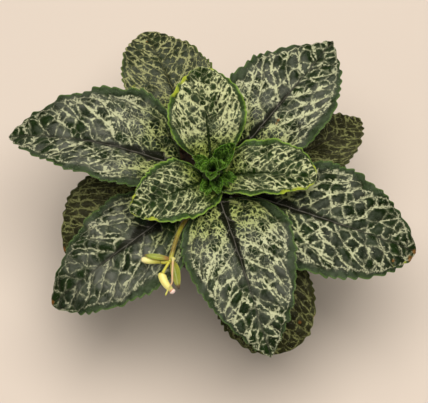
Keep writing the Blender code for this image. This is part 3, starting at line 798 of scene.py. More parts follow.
def cell_spikes(tree, cells, moved, cell):
    """Spikes that point from the seams towards the middle of each cell."""
    tint = cells.outputs["Color"]
    ray = add(tree, VECTOR, {0: moved, 1: cells.outputs["Position"]}, operation="SUBTRACT")
    ray = add(tree, VECTOR, {0: ray}, operation="NORMALIZE")
    turns = cell / 2 / SPIKE_STEP
    ray = add(tree, VECTOR, {0: ray, 1: (turns, turns, 0), 2: tint}, operation="MULTIPLY_ADD")
    ray = add(tree, VECTOR, {0: tint, 1: (9, 9, 31), 2: ray}, operation="MULTIPLY_ADD")
    return spikes_along(tree, ray, dimensions="3D")


def leaf_values(tree):
    """The values that a leaf's points carry, and the noises that its finish reads, by name."""
    at = SimpleNamespace()
    for label in ("blade_map", "cell_map", *FIELD_NAMES):
        setattr(at, label, add(tree, "ShaderNodeAttribute", attribute_name=label).outputs["Vector"])
    for label in FIELD_NAMES:
        setattr(at, label, add(tree, SPLIT, {0: getattr(at, label)}).outputs)
    at.underside = add(tree, "ShaderNodeAttribute", attribute_name="underside").outputs["Fac"]
    at.blade = add(tree, SPLIT, {0: at.blade_map}).outputs
    for label, (size, detail, output) in LEAF_NOISES.items():
        values = {"Vector": at.blade_map, "Scale": 1 / size, "Detail": detail, "Roughness": 0.6}
        setattr(at, label, add(tree, NOISE, values, noise_dimensions="2D").outputs[output])
    for label, (noise, low, high, least, most) in LEAF_RANGES.items():
        ends = {"From Min": low, "From Max": high, "To Min": least, "To Max": most}
        setattr(at, label, add(tree, RANGE, {"Value": getattr(at, noise), **ends}))
    at.ragged = add(tree, MATH, {0: at.ragged, 1: at.swell}, operation="MULTIPLY")
    return at


print("a leaf's finish reads the noises", ", ".join(LEAF_NOISES))

# %% [markdown]
# The silver is worked out first, because the ground under it changes with the distance to the nearest line.
# Each of the four nets has its distance, its half width and its spikes. Where nets cross, the strongest wins.

# %% Silver lines
SOFT_EDGE = 0.13
LANE_APART = 9.7


def vein_lines(tree, at):
    """Millimetres to the side veins and to the loops that join them, each with its spikes."""
    bent = add(tree, MATH, {0: at.bend, 1: 0.44, 2: at.veins[0]}, operation="MULTIPLY_ADD")
    bent = add(tree, MATH, {0: at.jag, 1: 0.12, 2: bent}, operation="MULTIPLY_ADD")
    bent = add(tree, MATH, {0: bent, 1: 0.28}, operation="SUBTRACT")
    river = add(tree, MATH, {0: bent, 1: 0.5}, operation="PINGPONG")
    river = add(tree, MATH, {0: river, 1: at.veins[1]}, operation="MULTIPLY")
    lane = add(tree, MATH, {0: bent}, operation="FLOOR")
    comb = add(tree, "ShaderNodeCombineXYZ", {0: at.blade[1], 1: lane})
    comb = add(tree, VECTOR, {0: comb, 1: (1 / SPIKE_STEP, LANE_APART, 0)}, operation="MULTIPLY")
    loop = add(tree, SPLIT, {0: at.cell_map}).outputs[2]
    loop = add(tree, MATH, {0: at.jag, 1: 2.4, 2: loop}, operation="MULTIPLY_ADD")
    loop = add(tree, MATH, {0: loop, 1: 1.2}, operation="SUBTRACT")
    outside = add(tree, MATH, {0: loop}, operation="SIGN")
    loop_comb = add(tree, "ShaderNodeCombineXYZ", {0: at.blade[0], 1: outside})
    loop_comb = add(tree, VECTOR, {0: loop_comb, "Scale": 1 / SPIKE_STEP}, operation="SCALE")
    loop = add(tree, MATH, {0: loop}, operation="ABSOLUTE")
    return river, spikes_along(tree, comb), loop, spikes_along(tree, loop_comb)


def silver_lines(tree, look, at):
    """How much silver shows, from 0 to 1. The seams and the cells' tones join the values for later steps."""
    at.river, river_spikes, loop, loop_spikes = vein_lines(tree, at)
    net, net_cells, net_place = vein_net(tree, at.cell_map, look.net_cell, JAG_SIZE)
    at.fine, fine_cells, fine_place = vein_net(tree, at.blade_map, look.fine_cell, 0.5 * JAG_SIZE)
    net_spikes = cell_spikes(tree, net_cells, net_place, look.net_cell)
    fine_spikes = cell_spikes(tree, fine_cells, fine_place, look.fine_cell)
    at.tone = add(tree, SPLIT, {0: net_cells.outputs["Color"]})
    at.fine_tone = add(tree, SPLIT, {0: fine_cells.outputs["Color"]})
    at.near = add(tree, MATH, {0: net, 1: at.river}, operation="MINIMUM")
    at.near = add(tree, MATH, {0: at.near, 1: loop}, operation="MINIMUM")
    zone = at.zones[0]
    broken = add(tree, MATH, {0: zone, 1: at.broken}, operation="MULTIPLY")
    hatched = add(tree, RANGE, {"Value": at.near, "From Max": 1.5, "To Min": 0.55, "To Max": 0.0})
    hatched = add(tree, MATH, {0: hatched, 1: zone}, operation="MULTIPLY")
    crowd = add(tree, MATH, {0: at.zones[1], 1: hatched}, operation="MAXIMUM")
    pale = add(tree, RANGE, {"Value": at.near, "From Min": 1.2, "From Max": 0.1, "To Max": 0.3 * look.spike})
    pale = add(tree, MATH, {0: pale, 1: at.ragged}, operation="MULTIPLY")
    pale = add(tree, MATH, {0: pale, 1: zone}, operation="MULTIPLY", use_clamp=True)
    for apart, width, spikes, spike, strength in (
        (at.river, look.river, river_spikes, look.spike, zone),
        (net, look.net, net_spikes, 0.9 * look.spike, broken),
        (loop, look.net, loop_spikes, 1.2 * look.spike, at.loops[0]),
        (at.fine, max(look.fine, 0.5 * look.net), fine_spikes, 0.35 * look.spike, crowd),
    ):
        wide = add(tree, MATH, {0: spikes, 1: spike, 2: width}, operation="MULTIPLY_ADD")
        for factor in (at.ragged, strength):
            wide = add(tree, MATH, {0: wide, 1: factor}, operation="MULTIPLY")
        past = add(tree, MATH, {0: apart, 1: wide}, operation="SUBTRACT")
        soft = {"Value": past, "From Min": SOFT_EDGE, "From Max": -SOFT_EDGE}
        drawn = add(tree, RANGE, soft, interpolation_type="SMOOTHSTEP")
        shown = add(tree, MATH, {0: strength, 1: 1.6}, operation="MULTIPLY", use_clamp=True)
        drawn = add(tree, MATH, {0: drawn, 1: shown}, operation="MULTIPLY")
        pale = add(tree, MATH, {0: pale, 1: drawn}, operation="MAXIMUM")
    return pale


print("a line's edge is", 2 * SOFT_EDGE, "mm soft")

# %% [markdown]
# The ground is laid in steps: dark and lighter cells, a painted grey sheen on the blisters, the green rim,
# greyed in part as painted sheen, and the dark strip along the midrib. Over it go the silver, the line of the
# midrib, the marks, and on the underside a plain pale green.

# %% Leaf finish
LAYER_SHARE = 0.85
YELLOWED, DRIED = "#a9b536", "#7d5426"
UNDERSIDE = ("#56653f", "#6f7b52")


def leaf_ground(tree, look, at):
    """The tissue under the silver: dark and lighter cells, painted grey sheen, a green rim greyed in part as
    painted sheen, a dark midrib.
    """
    cells = add(tree, MATH, {0: at.tone, 1: at.mottled}, operation="ADD")
    cells = add(tree, MATH, {0: cells, 1: 0.5}, operation="MULTIPLY")
    ground = add(tree, MIX, {0: cells, 6: colour(look.deep), 7: colour(look.green)}, data_type="RGBA")
    blister_sheen = add(tree, RANGE, {"Value": at.near, "From Max": 2.2, "To Min": 0.75, "To Max": 1.0})
    uneven = add(tree, RANGE, {"Value": at.fine_tone, "To Min": 0.6, "To Max": 1.1})
    # painted sheen: grey laid in slow clouds, strongest in the middle of each blister, where a gloss would
    # show
    painted_sheen = at.clouded
    for factor in (at.marks[2], blister_sheen, uneven):
        painted_sheen = add(tree, MATH, {0: painted_sheen, 1: factor}, operation="MULTIPLY", use_clamp=True)
    # the rim band: its own green, greyed in part as painted sheen, laid in patches
    rim = add(tree, MATH, {0: at.marks[0], 1: at.patchy}, operation="MULTIPLY")
    layers = ((painted_sheen, look.grey), (rim, look.rim), (at.marks[1], look.rib), (at.margin[0], look.edge))
    for share, code in layers:
        share = add(tree, MATH, {0: share, 1: LAYER_SHARE}, operation="MULTIPLY")
        ground = add(tree, MIX, {0: share, 6: ground, 7: colour(code)}, data_type="RGBA")
    return ground


def silver_colour(tree, look, at):
    """Silver, greener at the blade's foot, and duller where the net is weak or its patch is faint."""
    ends = {0: at.zones[2], 6: colour(look.pale), 7: colour(look.pale_foot)}
    silver = add(tree, MIX, ends, data_type="RGBA")
    dim = add(tree, RANGE, {"Value": at.zones[0], "From Min": 1.0, "From Max": 0.5, "To Max": 0.5})
    dim = add(tree, MATH, {0: dim, 1: at.faint}, operation="MAXIMUM")
    return add(tree, MIX, {0: dim, 6: silver, 7: colour(look.line)}, data_type="RGBA")


def rib_line(tree, at):
    """The pale line of the midrib, which fades towards the tip, and the side veins that cross its strip."""
    side = add(tree, RANGE, {"Value": at.river, "From Min": 0.4, "From Max": 0.15, "To Max": 0.6})
    side = add(tree, MATH, {0: side, 1: at.marks[1]}, operation="MULTIPLY")
    rib = add(tree, RANGE, {"Value": at.veins[2], "From Min": 0.42, "From Max": 0.15, "To Max": 0.8})
    fading = {"Value": at.margin[2], "From Min": 0.3, "From Max": 0.65, "To Min": 1.0, "To Max": 0.15}
    rib = add(tree, MATH, {0: rib, 1: add(tree, RANGE, fading)}, operation="MULTIPLY")
    return add(tree, MATH, {0: rib, 1: side}, operation="MAXIMUM")


def leaf_finish(name):
    """The skin of one look, from the attributes that its leaves carry."""
    look = LOOKS[name]
    made, tree, shader = new_material("leaf_skin_" + name, Roughness=look.roughness, Specular_IOR_Level=0.06)
    at = leaf_values(tree)
    pale = silver_lines(tree, look, at)
    skin = leaf_ground(tree, look, at)
    for share, over in ((pale, silver_colour(tree, look, at)), (rib_line(tree, at), colour(look.line))):
        skin = add(tree, MIX, {0: share, 6: skin, 7: over}, data_type="RGBA")
    for amount, code in ((at.margin[1], YELLOWED), (at.blade[2], DRIED)):
        frayed = add(tree, MATH, {0: at.jag, 1: amount}, operation="ADD")
        stained = add(tree, RANGE, {"Value": frayed, "From Min": 0.85, "From Max": 1.3, "To Max": 0.75})
        skin = add(tree, MIX, {0: stained, 6: skin, 7: colour(code)}, data_type="RGBA")
    dull, light = (colour(code) for code in UNDERSIDE)
    below = add(tree, MIX, {0: at.mottled, 6: dull, 7: light}, data_type="RGBA")
    skin = add(tree, MIX, {0: at.underside, 6: skin, 7: below}, data_type="RGBA")
    seam = add(tree, RANGE, {"Value": at.fine, "From Max": 0.7}, interpolation_type="SMOOTHSTEP")
    seam = add(tree, MATH, {0: seam, 1: at.zones[0]}, operation="MULTIPLY")
    height = add(tree, MATH, {0: at.grain, 1: 0.35, 2: seam}, operation="MULTIPLY_ADD")
    end_finish(tree, shader, skin, height, 0.6, 0.15 * MM)
    return made


def hair_finish():
    """Clear living hairs, which look whitish where they catch the light."""
    made, tree, shader = new_material("leaf_hairs", Roughness=0.4, Sheen_Weight=0.2)
    cloud = add(tree, NOISE, {"Vector": object_place(tree), "Scale": 1 / (4 * MM)})
    skin = add(tree, MIX, {0: cloud, 6: colour("#a9b094"), 7: colour("#d6d9c8")}, data_type="RGBA")
    end_finish(tree, shader, skin)
    return made


leaf_finishes = {name: leaf_finish(name) for name in LOOKS}
hairs_clear = hair_finish()
print("leaf finishes:", ", ".join(leaf_finishes))

# %% [markdown]
# ## Making the leaves
#
# The grid of a large blade has a step of 0.65 mm along it and of about 0.95 mm across, closer at the midrib
# than at the rim. That is enough points to round every tooth. Small leaves get a finer grid.

# %% Leaves
RECORD_SLOTS = {"mature": "leaf_green", "laced": "leaf_green", "young": "leaf_young", "heart": "leaf_young",
                "old": "leaf_old"}
HAIR_LENGTHS = {"heart": 0.35 * MM}


def make_leaf(shape, index, replaces=True):
    """Makes a fine leaf, which takes the place of its solid if it has one."""
    row_step = min(ROW_STEP, shape.width / 30)
    column_step = min(COLUMN_STEP, shape.width / 24)
    t_blade = np.linspace(0, 1, int(shape.blade / row_step) + 1)[1:]
    t_blade[-1] = 0.998
    stalk_shares = np.linspace(0, 1, max(4, int(shape.stalk / (1.5 * row_step))))
    even = np.linspace(0, 1, int(shape.width / 2 / column_step) + 1)
    spread = 0.75 * even + 0.25 * even**3
    across = np.concatenate([-spread[:0:-1], spread])
    mesh = slab(shape.name, *leaf_sheet(shape, index, t_blade, stalk_shares, across))
    blistered = run_nodes(
        mesh,
        blister_trees[shape.look],
        Finish=leaf_finishes[shape.look],
        Hair_Finish=hairs_clear,
        Seed=index + 1,
        Hair_Length=HAIR_LENGTHS.get(shape.look, HAIR_LENGTH),
    )
    piece = link(shape.name + "_blade", blistered)
    finish_piece(piece, RECORD_SLOTS[shape.look], *([shape.name] if replaces else []))


for index, shape in enumerate(LEAVES):
    make_leaf(shape, index)

# %% [markdown]
# ## The crown
#
# New leaves push up from the tip of the stem. The smallest are only crinkled tufts, too fine for the solids,
# so they are added here with the same function. They lean inwards at first and close the crown.

# %% Crown leaflets
# heading, sweep, root height, (rise, tip pitch), (blade, width), (fold, cup), teeth, wave
CROWN_ROWS = [
    (205, 10, 95.5, (100, 40), (13, 9), (40, 10), 6, 0.8),
    (95, -10, 96, (104, 62), (12, 8), (46, 20), 6, 0.8),
    (262, 0, 95.5, (98, 30), (14, 10), (42, 10), 7, 0.9),
    (345, 0, 96, (102, 40), (15, 10), (42, 14), 7, 0.9),
    (62, 0, 96, (108, 60), (12, 8), (46, 20), 6, 0.8),
    (178, 0, 95.5, (92, 26), (13, 9), (38, 10), 6, 0.8),
    (250, 4, 94, (58, -10), (13, 9), (44, 16), 6, 0.9),
    (284, -6, 94.5, (66, 4), (14, 9), (48, 20), 6, 0.9),
    (330, 4, 94.5, (62, 0), (12, 8), (44, 18), 6, 0.8),
]
CROWN_STALK = 0.5
CROWN_OUTLINE = (0.5, 0.5, 0.6, 0)
CROWN_TOOTH = 0.5
CROWN_WAVES = 3


def crown_leaflet(number, heading, sweep, root_height, pitch, size, section, teeth, wave):
    """A leaflet of the crown from its row."""
    margin = (teeth, CROWN_TOOTH, CROWN_WAVES, wave)
    name = f"crown_leaflet_{number}"
    size = (CROWN_STALK, *size)
    section = (*section, 0, 0)
    return leaf(name, heading, sweep, root_height, pitch, size, CROWN_OUTLINE, section, margin, "heart")


CROWN = [crown_leaflet(number, *row) for number, row in enumerate(CROWN_ROWS, 1)]
for index, shape in enumerate(CROWN):
    make_leaf(shape, len(LEAVES) + index, replaces=False)

# %% [markdown]
# ## Smooth tubes
#
# The flower stalk and most of what it carries are round and tapered, so they are rings of points carried
# along a smooth curve. The knots are those of the solids, in millimetres. The ends are rounded off instead
# of cut. Each point keeps its share of the way, for colours that change from root to tip.

# %% Tubes
ROUNDING = 0.035


def smooth(knots, shares):
    """Points of a smooth curve through the knots, at shares of its way."""
    knots = np.asarray(knots, float).reshape(len(knots), -1)
    padded = np.vstack([2 * knots[0] - knots[1], knots, 2 * knots[-1] - knots[-2]])
    place = np.asarray(shares) * (len(knots) - 1)
    span = np.minimum(place.astype(int), len(knots) - 2)
    x = (place - span)[:, None]
    a, b, c, d = (padded[span + k] for k in range(4))
    return 0.5 * (2 * b + (c - a) * x + (2 * a - 5 * b + 4 * c - d) * x**2 + (3 * b - a - 3 * c + d) * x**3)


def unit(vectors):
    """The same directions with a length of 1."""
    return vectors / np.linalg.norm(vectors, axis=-1, keepdims=True)


def outward_mesh(name, points, faces, fields=None):
    """A mesh with every face turned outwards, and fields stored on its points."""
    mesh = bpy.data.meshes.new(name)
    mesh.from_pydata(np.asarray(points).tolist(), [], [tuple(face) for face in faces])
    bm = bmesh.new()
    bm.from_mesh(mesh)
    bmesh.ops.recalc_face_normals(bm, faces=bm.faces)
    bm.to_mesh(mesh)
    bm.free()
    for label, values in (fields or {}).items():
        held = mesh.attributes.new(label, "FLOAT_VECTOR", "POINT")
        held.data.foreach_set("vector", np.asarray(values, np.float32).ravel())
    return mesh


def ring_faces(rows, sides):
    """Quads between rings of points, and a fan at each end to the two points that follow them."""
    faces = []
    for row in range(rows - 1):
        for s in range(sides):
            a, b = row * sides + s, row * sides + (s + 1) % sides
            faces.append((a, b, b + sides, a + sides))
    first, last = rows * sides, rows * sides + 1
    for s in range(sides):
        faces.append((first, (s + 1) % sides, s))
        faces.append((last, (rows - 1) * sides + s, (rows - 1) * sides + (s + 1) % sides))
    return faces


def tube_mesh(name, knots, radii, count=48, sides=24, lobes=0, lobe_depth=0.0, lobe_start=1.0):
    """A closed tube through the knots, with lobed grooves towards its tip if asked for."""
    shares = 0.5 - 0.5 * np.cos(np.pi * np.linspace(0, 1, count))
    path = smooth(knots, shares) * MM
    radius = smooth(radii, shares)[:, 0] * MM
    for from_end in (shares, 1 - shares):
        radius = radius * np.sqrt(np.clip(1 - (1 - np.minimum(from_end / ROUNDING, 1)) ** 2, 0.02, 1))
    ahead = unit(np.gradient(path, axis=0))
    across = unit(np.cross(ahead, (0, 0, 1)))
    over = np.cross(across, ahead)
    turn = math.tau * np.arange(sides) / sides
    grooved = 1 - lobe_depth * np.abs(np.sin(turn * lobes / 2))[None, :] ** 6 * ramp(
        (shares - lobe_start) / max(1 - lobe_start, 1e-6)
    )[:, None]
    way = across[:, None] * np.cos(turn)[None, :, None] + over[:, None] * np.sin(turn)[None, :, None]
    rings = path[:, None] + way * (radius[:, None] * grooved)[:, :, None]
    points = np.vstack([rings.reshape(-1, 3), path[:1], path[-1:]])
    along = np.stack(np.broadcast_arrays(shares[:, None], np.cos(turn)[None, :], np.sin(turn)[None, :]), 2)
    along = np.vstack([along.reshape(-1, 3), [[0, 0, 0], [1, 0, 0]]])
    return outward_mesh(name, points, ring_faces(count, sides), {"way": along})


print("curve check:", smooth([(0, 0), (1, 2), (2, 0)], [0.5])[0])

# %% [markdown]
# ## The flower stalk
#
# The stalk is round and fleshy, olive with a brown flush, brighter at its end, and covered with short hairs.
# It carries three shorter stalks. The four tubes are joined by a Boolean, so that no wall is left inside.

# %% Flower stalk finish
def stalk_finish():
    """Living green epidermis with a brown flush, slightly glossy between its hairs."""
    surface = {"Roughness": 0.42, "Sheen_Weight": 0.2, "Sheen_Roughness": 0.4}
    made, tree, shader = new_material("stalk_epidermis", **surface)
    place = object_place(tree)
    flush = add(tree, NOISE, {"Vector": place, "Scale": 1 / (9 * MM), "Detail": 3.0})
    flush = add(tree, RANGE, {"Value": flush, "From Min": 0.38, "From Max": 0.62})
    olive = add(tree, MIX, {0: flush, 6: colour("#8b891f"), 7: colour("#74621a")}, data_type="RGBA")
    fleck = add(tree, NOISE, {"Vector": place, "Scale": 1 / (0.7 * MM), "Detail": 2.0})
    fleck = add(tree, RANGE, {"Value": fleck, "From Min": 0.5, "From Max": 0.75, "To Max": 0.5})
    skin = add(tree, MIX, {0: fleck, 6: olive, 7: colour("#b4a838")}, data_type="RGBA")
    tip = add(tree, SPLIT, {0: place}).outputs[1]
    young = add(
        tree,
        RANGE,
        {"Value": tip, "From Min": -52 * MM, "From Max": -62 * MM, "To Max": 0.85},
        interpolation_type="SMOOTHSTEP",
    )
    skin = add(tree, MIX, {0: young, 6: skin, 7: colour("#c9c43e")}, data_type="RGBA")
    end_finish(tree, shader, skin, fleck, 0.5, 0.08 * MM)
    return made


stalk_skin = stalk_finish()
print("stalk finish:", stalk_skin.name)

# %% Flower stalk
NODE = (-25.4, -58.5, 101.5)
STALK_PATH = [
    (-1.8, -2.6, 88), (-5.3, -10.3, 91), (-11.7, -22.5, 95.5), (-17.6, -32.8, 98), (-20.8, -40.7, 99.8),
    (-22.9, -48.1, 101), (-24.3, -54.0, 101.5), (-25.4, -58.5, 101.5), (-26.0, -60.0, 101.5),
]
BRANCHES = {
    "stalk_main": (STALK_PATH, [1.55, 1.42, 1.38, 1.35, 1.45], 90),
    "stalk_left": ([NODE, (-28.5, -59.9, 101.6), (-31, -59.7, 101.5)], [1.1, 1.15, 1.25], 24),
    "stalk_front": ([NODE, (-28.0, -63.4, 101.7), (-29.8, -67.0, 101.6)], [0.9, 0.8, 0.95], 30),
    "stalk_spent": ([NODE, (-24.4, -58.4, 103.0), (-23.4, -58.3, 104.3)], [0.9, 0.85, 0.9], 20),
}


def join_all(pieces):
    """The union of overlapping pieces as one mesh."""
    base, *others = pieces
    for other in others:
        joined = base.modifiers.new(other.name, "BOOLEAN")
        joined.operation = "UNION"
        joined.solver = "EXACT"
        joined.object = other
    mesh = plain_mesh(base)
    for piece in pieces:
        bpy.data.objects.remove(piece)
    return mesh


branches = [
    link(name, tube_mesh(name, knots, radii, count), stalk_skin)
    for name, (knots, radii, count) in BRANCHES.items()
]
tree, given = new_tree("hairy_stalk", {"Finish": ("Material", None), **HAIRS})
end_tree(tree, with_hairs(tree, given["Geometry"], given), given["Finish"], given["Hair_Finish"])
hairy = run_nodes(
    join_all(branches),
    tree,
    Finish=stalk_skin,
    Hair_Finish=hairs_clear,
    Hairs_Per_Square_Metre=2.5e6,
    Hair_Length=0.5 * MM,
    Seed=40,
)
finish_piece(link("flower_stalk_skin", hairy), "stalk_skin", "flower_stalk")

# %% [markdown]
# ## Buds and the spent flower
#
# A bud is a closed corolla tube: thin waxy petals, so a soft gloss with light passing a little way in. Five
# petals are folded over each other at its tip, which shows as five seams. One flower has fallen and left its
# ovary and its style with the stigma. Colours run along each of them from base to tip.

# %% Bloom finishes
def bloom_finish(name, stops):
    """Petal tissue whose colour follows the way from base to tip, mottled along thin veins."""
    made, tree, shader = new_material(
        name, Roughness=0.42, Subsurface_Weight=0.15, Subsurface_Scale=0.6 * MM, Sheen_Weight=0.1
    )
    way = add(tree, "ShaderNodeAttribute", attribute_name="way").outputs["Vector"]
    share = add(tree, SPLIT, {0: way})
    cloud = add(tree, NOISE, {"Vector": object_place(tree), "Scale": 1 / (2.2 * MM), "Detail": 3.0})
    share = add(tree, MATH, {0: cloud, 1: 0.10, 2: share}, operation="MULTIPLY_ADD")
    share = add(tree, MATH, {0: share, 1: 0.05}, operation="SUBTRACT")
    blend = add(tree, "ShaderNodeValToRGB", {0: share})
    places = list(stops)
    for _ in places[2:]:
        blend.color_ramp.elements.new(0.5)
    for element, place in zip(blend.color_ramp.elements, places):
        element.position = place
        element.color = colour(stops[place])
    streak = add(tree, NOISE, {"Vector": way, "Scale": 7.0, "Detail": 2.0})
    streak = add(tree, RANGE, {"Value": streak, "From Min": 0.5, "From Max": 0.8, "To Max": 0.35})
    skin = add(tree, MIX, {0: streak, 6: blend, 7: colour("#c9b95a")}, data_type="RGBA")
    end_finish(tree, shader, skin, cloud, 0.3, 0.1 * MM)
    return made


bud_left_petal = bloom_finish(
    "petal_left",
    {0.0: "#a09a34", 0.3: "#cfc850", 0.6: "#eae58c", 0.93: "#efe6a4", 0.97: "#d9a884", 1.0: "#8a5238"},
)
bud_front_petal = bloom_finish(
    "petal_front",
    {0.0: "#cfc84e", 0.2: "#ebe484", 0.6: "#ece38c", 0.69: "#d08f7a", 0.76: "#efd6cc", 1.0: "#f2e2dc"},
)
pistil_skin = bloom_finish(
    "pistil_skin",
    {0.0: "#c9c455", 0.12: "#d8d68a", 0.24: "#c9a878", 0.66: "#c49e74", 0.78: "#cfc574", 1.0: "#cfcc60"},
)
print("bloom finishes:", bud_left_petal.name, bud_front_petal.name, pistil_skin.name)

# %% Buds and pistil
# name: knots and radii in millimetres, finish, (seams, their depth, the share of the way where they start)
BLOOMS = {
    "bud_left": (
        [(-31, -59.7, 101.5), (-34, -59.2, 101.5), (-39, -58.8, 101.9), (-42.7, -58.3, 102)],
        [1.3, 1.35, 1.5, 1.75, 2.05, 2.15, 2.05, 1.8, 1.2],
        bud_left_petal, (5, 0.16, 0.72),
    ),
    "bud_front": (
        [(-29.8, -67.0, 101.6), (-30.0, -68.8, 101.5), (-28.4, -72.6, 101), (-25.2, -76.2, 99.6),
         (-24.1, -77.2, 99), (-23.2, -78.5, 98.5)],
        [1.1, 2.3, 2.5, 2.4, 2.2, 1.9, 1.5, 1.75, 1.8, 0.9],
        bud_front_petal, (5, 0.08, 0.84),
    ),
    "pistil": (
        [(-23.4, -58.3, 104.3), (-23.7, -60.5, 104.5), (-24.0, -67.3, 104.5), (-24.1, -73.6, 104),
         (-26.0, -77.0, 103.4), (-28.0, -80.8, 101)],
        [1.4, 1.5, 0.9, 0.72, 0.72, 0.72, 0.68, 0.62, 0.52, 0.46, 0.42, 0.42, 0.56, 0.5],
        pistil_skin, (2, 0.3, 0.95),
    ),
}
for name, (knots, radii, finish, (lobes, depth, start)) in BLOOMS.items():
    mesh = tube_mesh(name, knots, radii, 72, 30, lobes, depth, start)
    finish_piece(link(name + "_skin", mesh, finish), "petal", name, sharp=80)

# %% [markdown]
# ## The bracts
#
# A bract is a small folded leaf under the flowers: green and veined, brown where it dries. It is a boat, a
# sheet whose two halves rise from a keel, thin at the rim, and its tip is drawn to a point.

# %% Bracts
BRACT_ROWS, BRACT_COLUMNS = 44, 25
BRACT_THICKNESS = 0.7 * MM
KEEL_ROUNDING = 0.02
# name: knots in millimetres, width, colours by share of the way
BRACTS = {
    "bract_left": (
        [(-26.2, -58.4, 102.9), (-30.6, -58.3, 104.2), (-35.5, -57.8, 105.0), (-40.6, -56.6, 104.2)], 3.9,
        {0.0: "#6f4a1c", 0.14: "#8a6a2a", 0.3: "#8a8a30", 0.6: "#8d9a34", 0.85: "#84902e", 1.0: "#6d4c2a"},
    ),
    "bract_right": (
        [(-24.2, -59.2, 99.9), (-22.9, -63, 99.4), (-21.9, -68, 98.6), (-20.3, -75.0, 96.5)], 6.4,
        {0.0: "#8a7a2c", 0.15: "#98982f", 0.55: "#7f8c2a", 0.86: "#8c9036", 0.93: "#4a2c18", 1.0: "#2e1c10"},
    ),
}


def bract_mesh(name, knots, width):
    """A fine boat-shaped blade along its midline."""
    shares = np.linspace(0, 1, BRACT_ROWS)
    path = smooth(knots, shares) * MM
    ahead = unit(np.gradient(path, axis=0))
    side = unit(np.cross((0, 0, 1), ahead))
    up = np.cross(ahead, side)
    half = width / 2 * MM * np.maximum(np.sin(np.pi * (0.14 + 0.84 * shares**1.25)) ** 0.75, 0.12)
    u = np.linspace(-1, 1, BRACT_COLUMNS)
    rise = np.sqrt(u**2 + KEEL_ROUNDING) - math.sqrt(KEEL_ROUNDING)
    nerves = 0.05 * MM * np.cos(math.tau * 2.5 * u)
    points = (
        path[:, None]
        + side[:, None] * (half[:, None] * u * 0.9)[:, :, None]
        + up[:, None] * (half[:, None] * rise * 0.5 + nerves)[:, :, None]
    )
    thickness = BRACT_THICKNESS * (1 - 0.5 * np.abs(u) ** 4) + 0 * half[:, None]
    return slab(name, points, up, thickness, {"way": (shares[:, None], u[None, :], 0 * u[None, :])})


for name, (knots, width, stops) in BRACTS.items():
    finish_piece(
        link(name + "_skin", bract_mesh(name, knots, width), bloom_finish(name + "_blade", stops)),
        "bract_skin", name,
    )

# %% [markdown]
# ## The stem
#
# Under the crown every leaf stalk grows from one short stem, which is corky and ringed by the scars of leaves
# that have fallen. Its surface follows a rule, so it is worked out point by point: a cylinder with a domed
# top, plus a low crescent for each scar, placed at the golden angle as leaves are.

# %% Stem
STEM_FOOT = stem_low.z
STEM_TOP = stem_high.z
GOLDEN_ANGLE = math.radians(137.508)
SCARS = 26
SCAR_FIRST = 4 * MM
SCAR_STEP = 1.2 * MM
SCAR_HEIGHT = 1.6 * MM
SCAR_WIDTH = 3.2 * MM
SCAR_RELIEF = 0.35 * MM


def stem_mesh():
    """A cylinder with a domed top, a narrower foot and a crescent for each scar."""
    sides, rows = 72, 70
    shares = np.linspace(0, 1, rows)
    height = STEM_FOOT + (STEM_TOP - STEM_FOOT) * shares
    shoulder = STEM_TOP - 5 * MM
    radius = STEM_RADIUS - 1.5 * MM * (1 - ramp((height - STEM_FOOT) / (8 * MM)))
    past_shoulder = np.maximum((height - shoulder) / (STEM_TOP - shoulder), 0)
    radius = radius * np.sqrt(np.clip(1 - past_shoulder**2, 0.01, 1))
    turn = math.tau * np.arange(sides) / sides
    relief = np.zeros((rows, sides))
    for k in range(SCARS):
        centre = STEM_FOOT + SCAR_FIRST + SCAR_STEP * k
        around = (turn - k * GOLDEN_ANGLE + math.pi) % math.tau - math.pi
        away = np.hypot((height[:, None] - centre) / SCAR_HEIGHT, around[None, :] * STEM_RADIUS / SCAR_WIDTH)
        relief += SCAR_RELIEF * (np.exp(-((away - 1) ** 2) * 8) - 0.5 * np.exp(-(away**2) * 3))
    wide = radius[:, None] + relief * (radius[:, None] > STEM_RADIUS * 0.7)
    rings = np.stack(np.broadcast_arrays(wide * np.cos(turn), wide * np.sin(turn), height[:, None]), 2)
    points = np.vstack([rings.reshape(-1, 3), [[0, 0, STEM_FOOT], [0, 0, STEM_TOP]]])
    return outward_mesh("stem_cork", points, ring_faces(rows, sides))


def stem_finish():
    """Corky bark of an old rosette: dull brown, greener towards the crown."""
    made, tree, shader = new_material("stem_cork", Roughness=0.75)
    place = object_place(tree)
    grain = add(tree, NOISE, {"Vector": place, "Scale": 1 / (2.5 * MM), "Detail": 5.0})
    bark = add(tree, MIX, {0: grain, 6: colour("#4a3a20"), 7: colour("#8a7a42")}, data_type="RGBA")
    height = add(tree, SPLIT, {0: place}).outputs[2]
    fresh = add(tree, RANGE, {"Value": height, "From Min": 84 * MM, "From Max": 92 * MM, "To Max": 0.9})
    skin = add(tree, MIX, {0: fresh, 6: bark, 7: colour("#2c4018")}, data_type="RGBA")
    end_finish(tree, shader, skin, grain, 0.7, 0.4 * MM)
    return made


finish_piece(link("stem_bark", stem_mesh(), stem_finish()), "stem_skin", "stem")

# %% [markdown]
# ## The nursery pot
#
# The pot is hidden in the photograph, so it is a plain one: charcoal polypropylene, injection moulded. It is
# a profile turned about the axis, thin-walled, with a thicker collar. The drainage holes are cut by Booleans,
# and a Bevel takes the sharpness off every edge, as a mould does.

# %% Pot
def turned_mesh(name, profile, sides):
    """A solid of revolution about Z from (radius, height) pairs that start and end on the axis."""
    profile = np.asarray(profile, float)
    turn = math.tau * np.arange(sides) / sides
    middle = profile[1:-1]
    around = (middle[:, :1] * np.cos(turn), middle[:, :1] * np.sin(turn), middle[:, 1:])
    rings = np.stack(np.broadcast_arrays(*around), 2)
    points = np.vstack([rings.reshape(-1, 3), [[0, 0, profile[0, 1]], [0, 0, profile[-1, 1]]]])
    return outward_mesh(name, points, ring_faces(len(middle), sides))


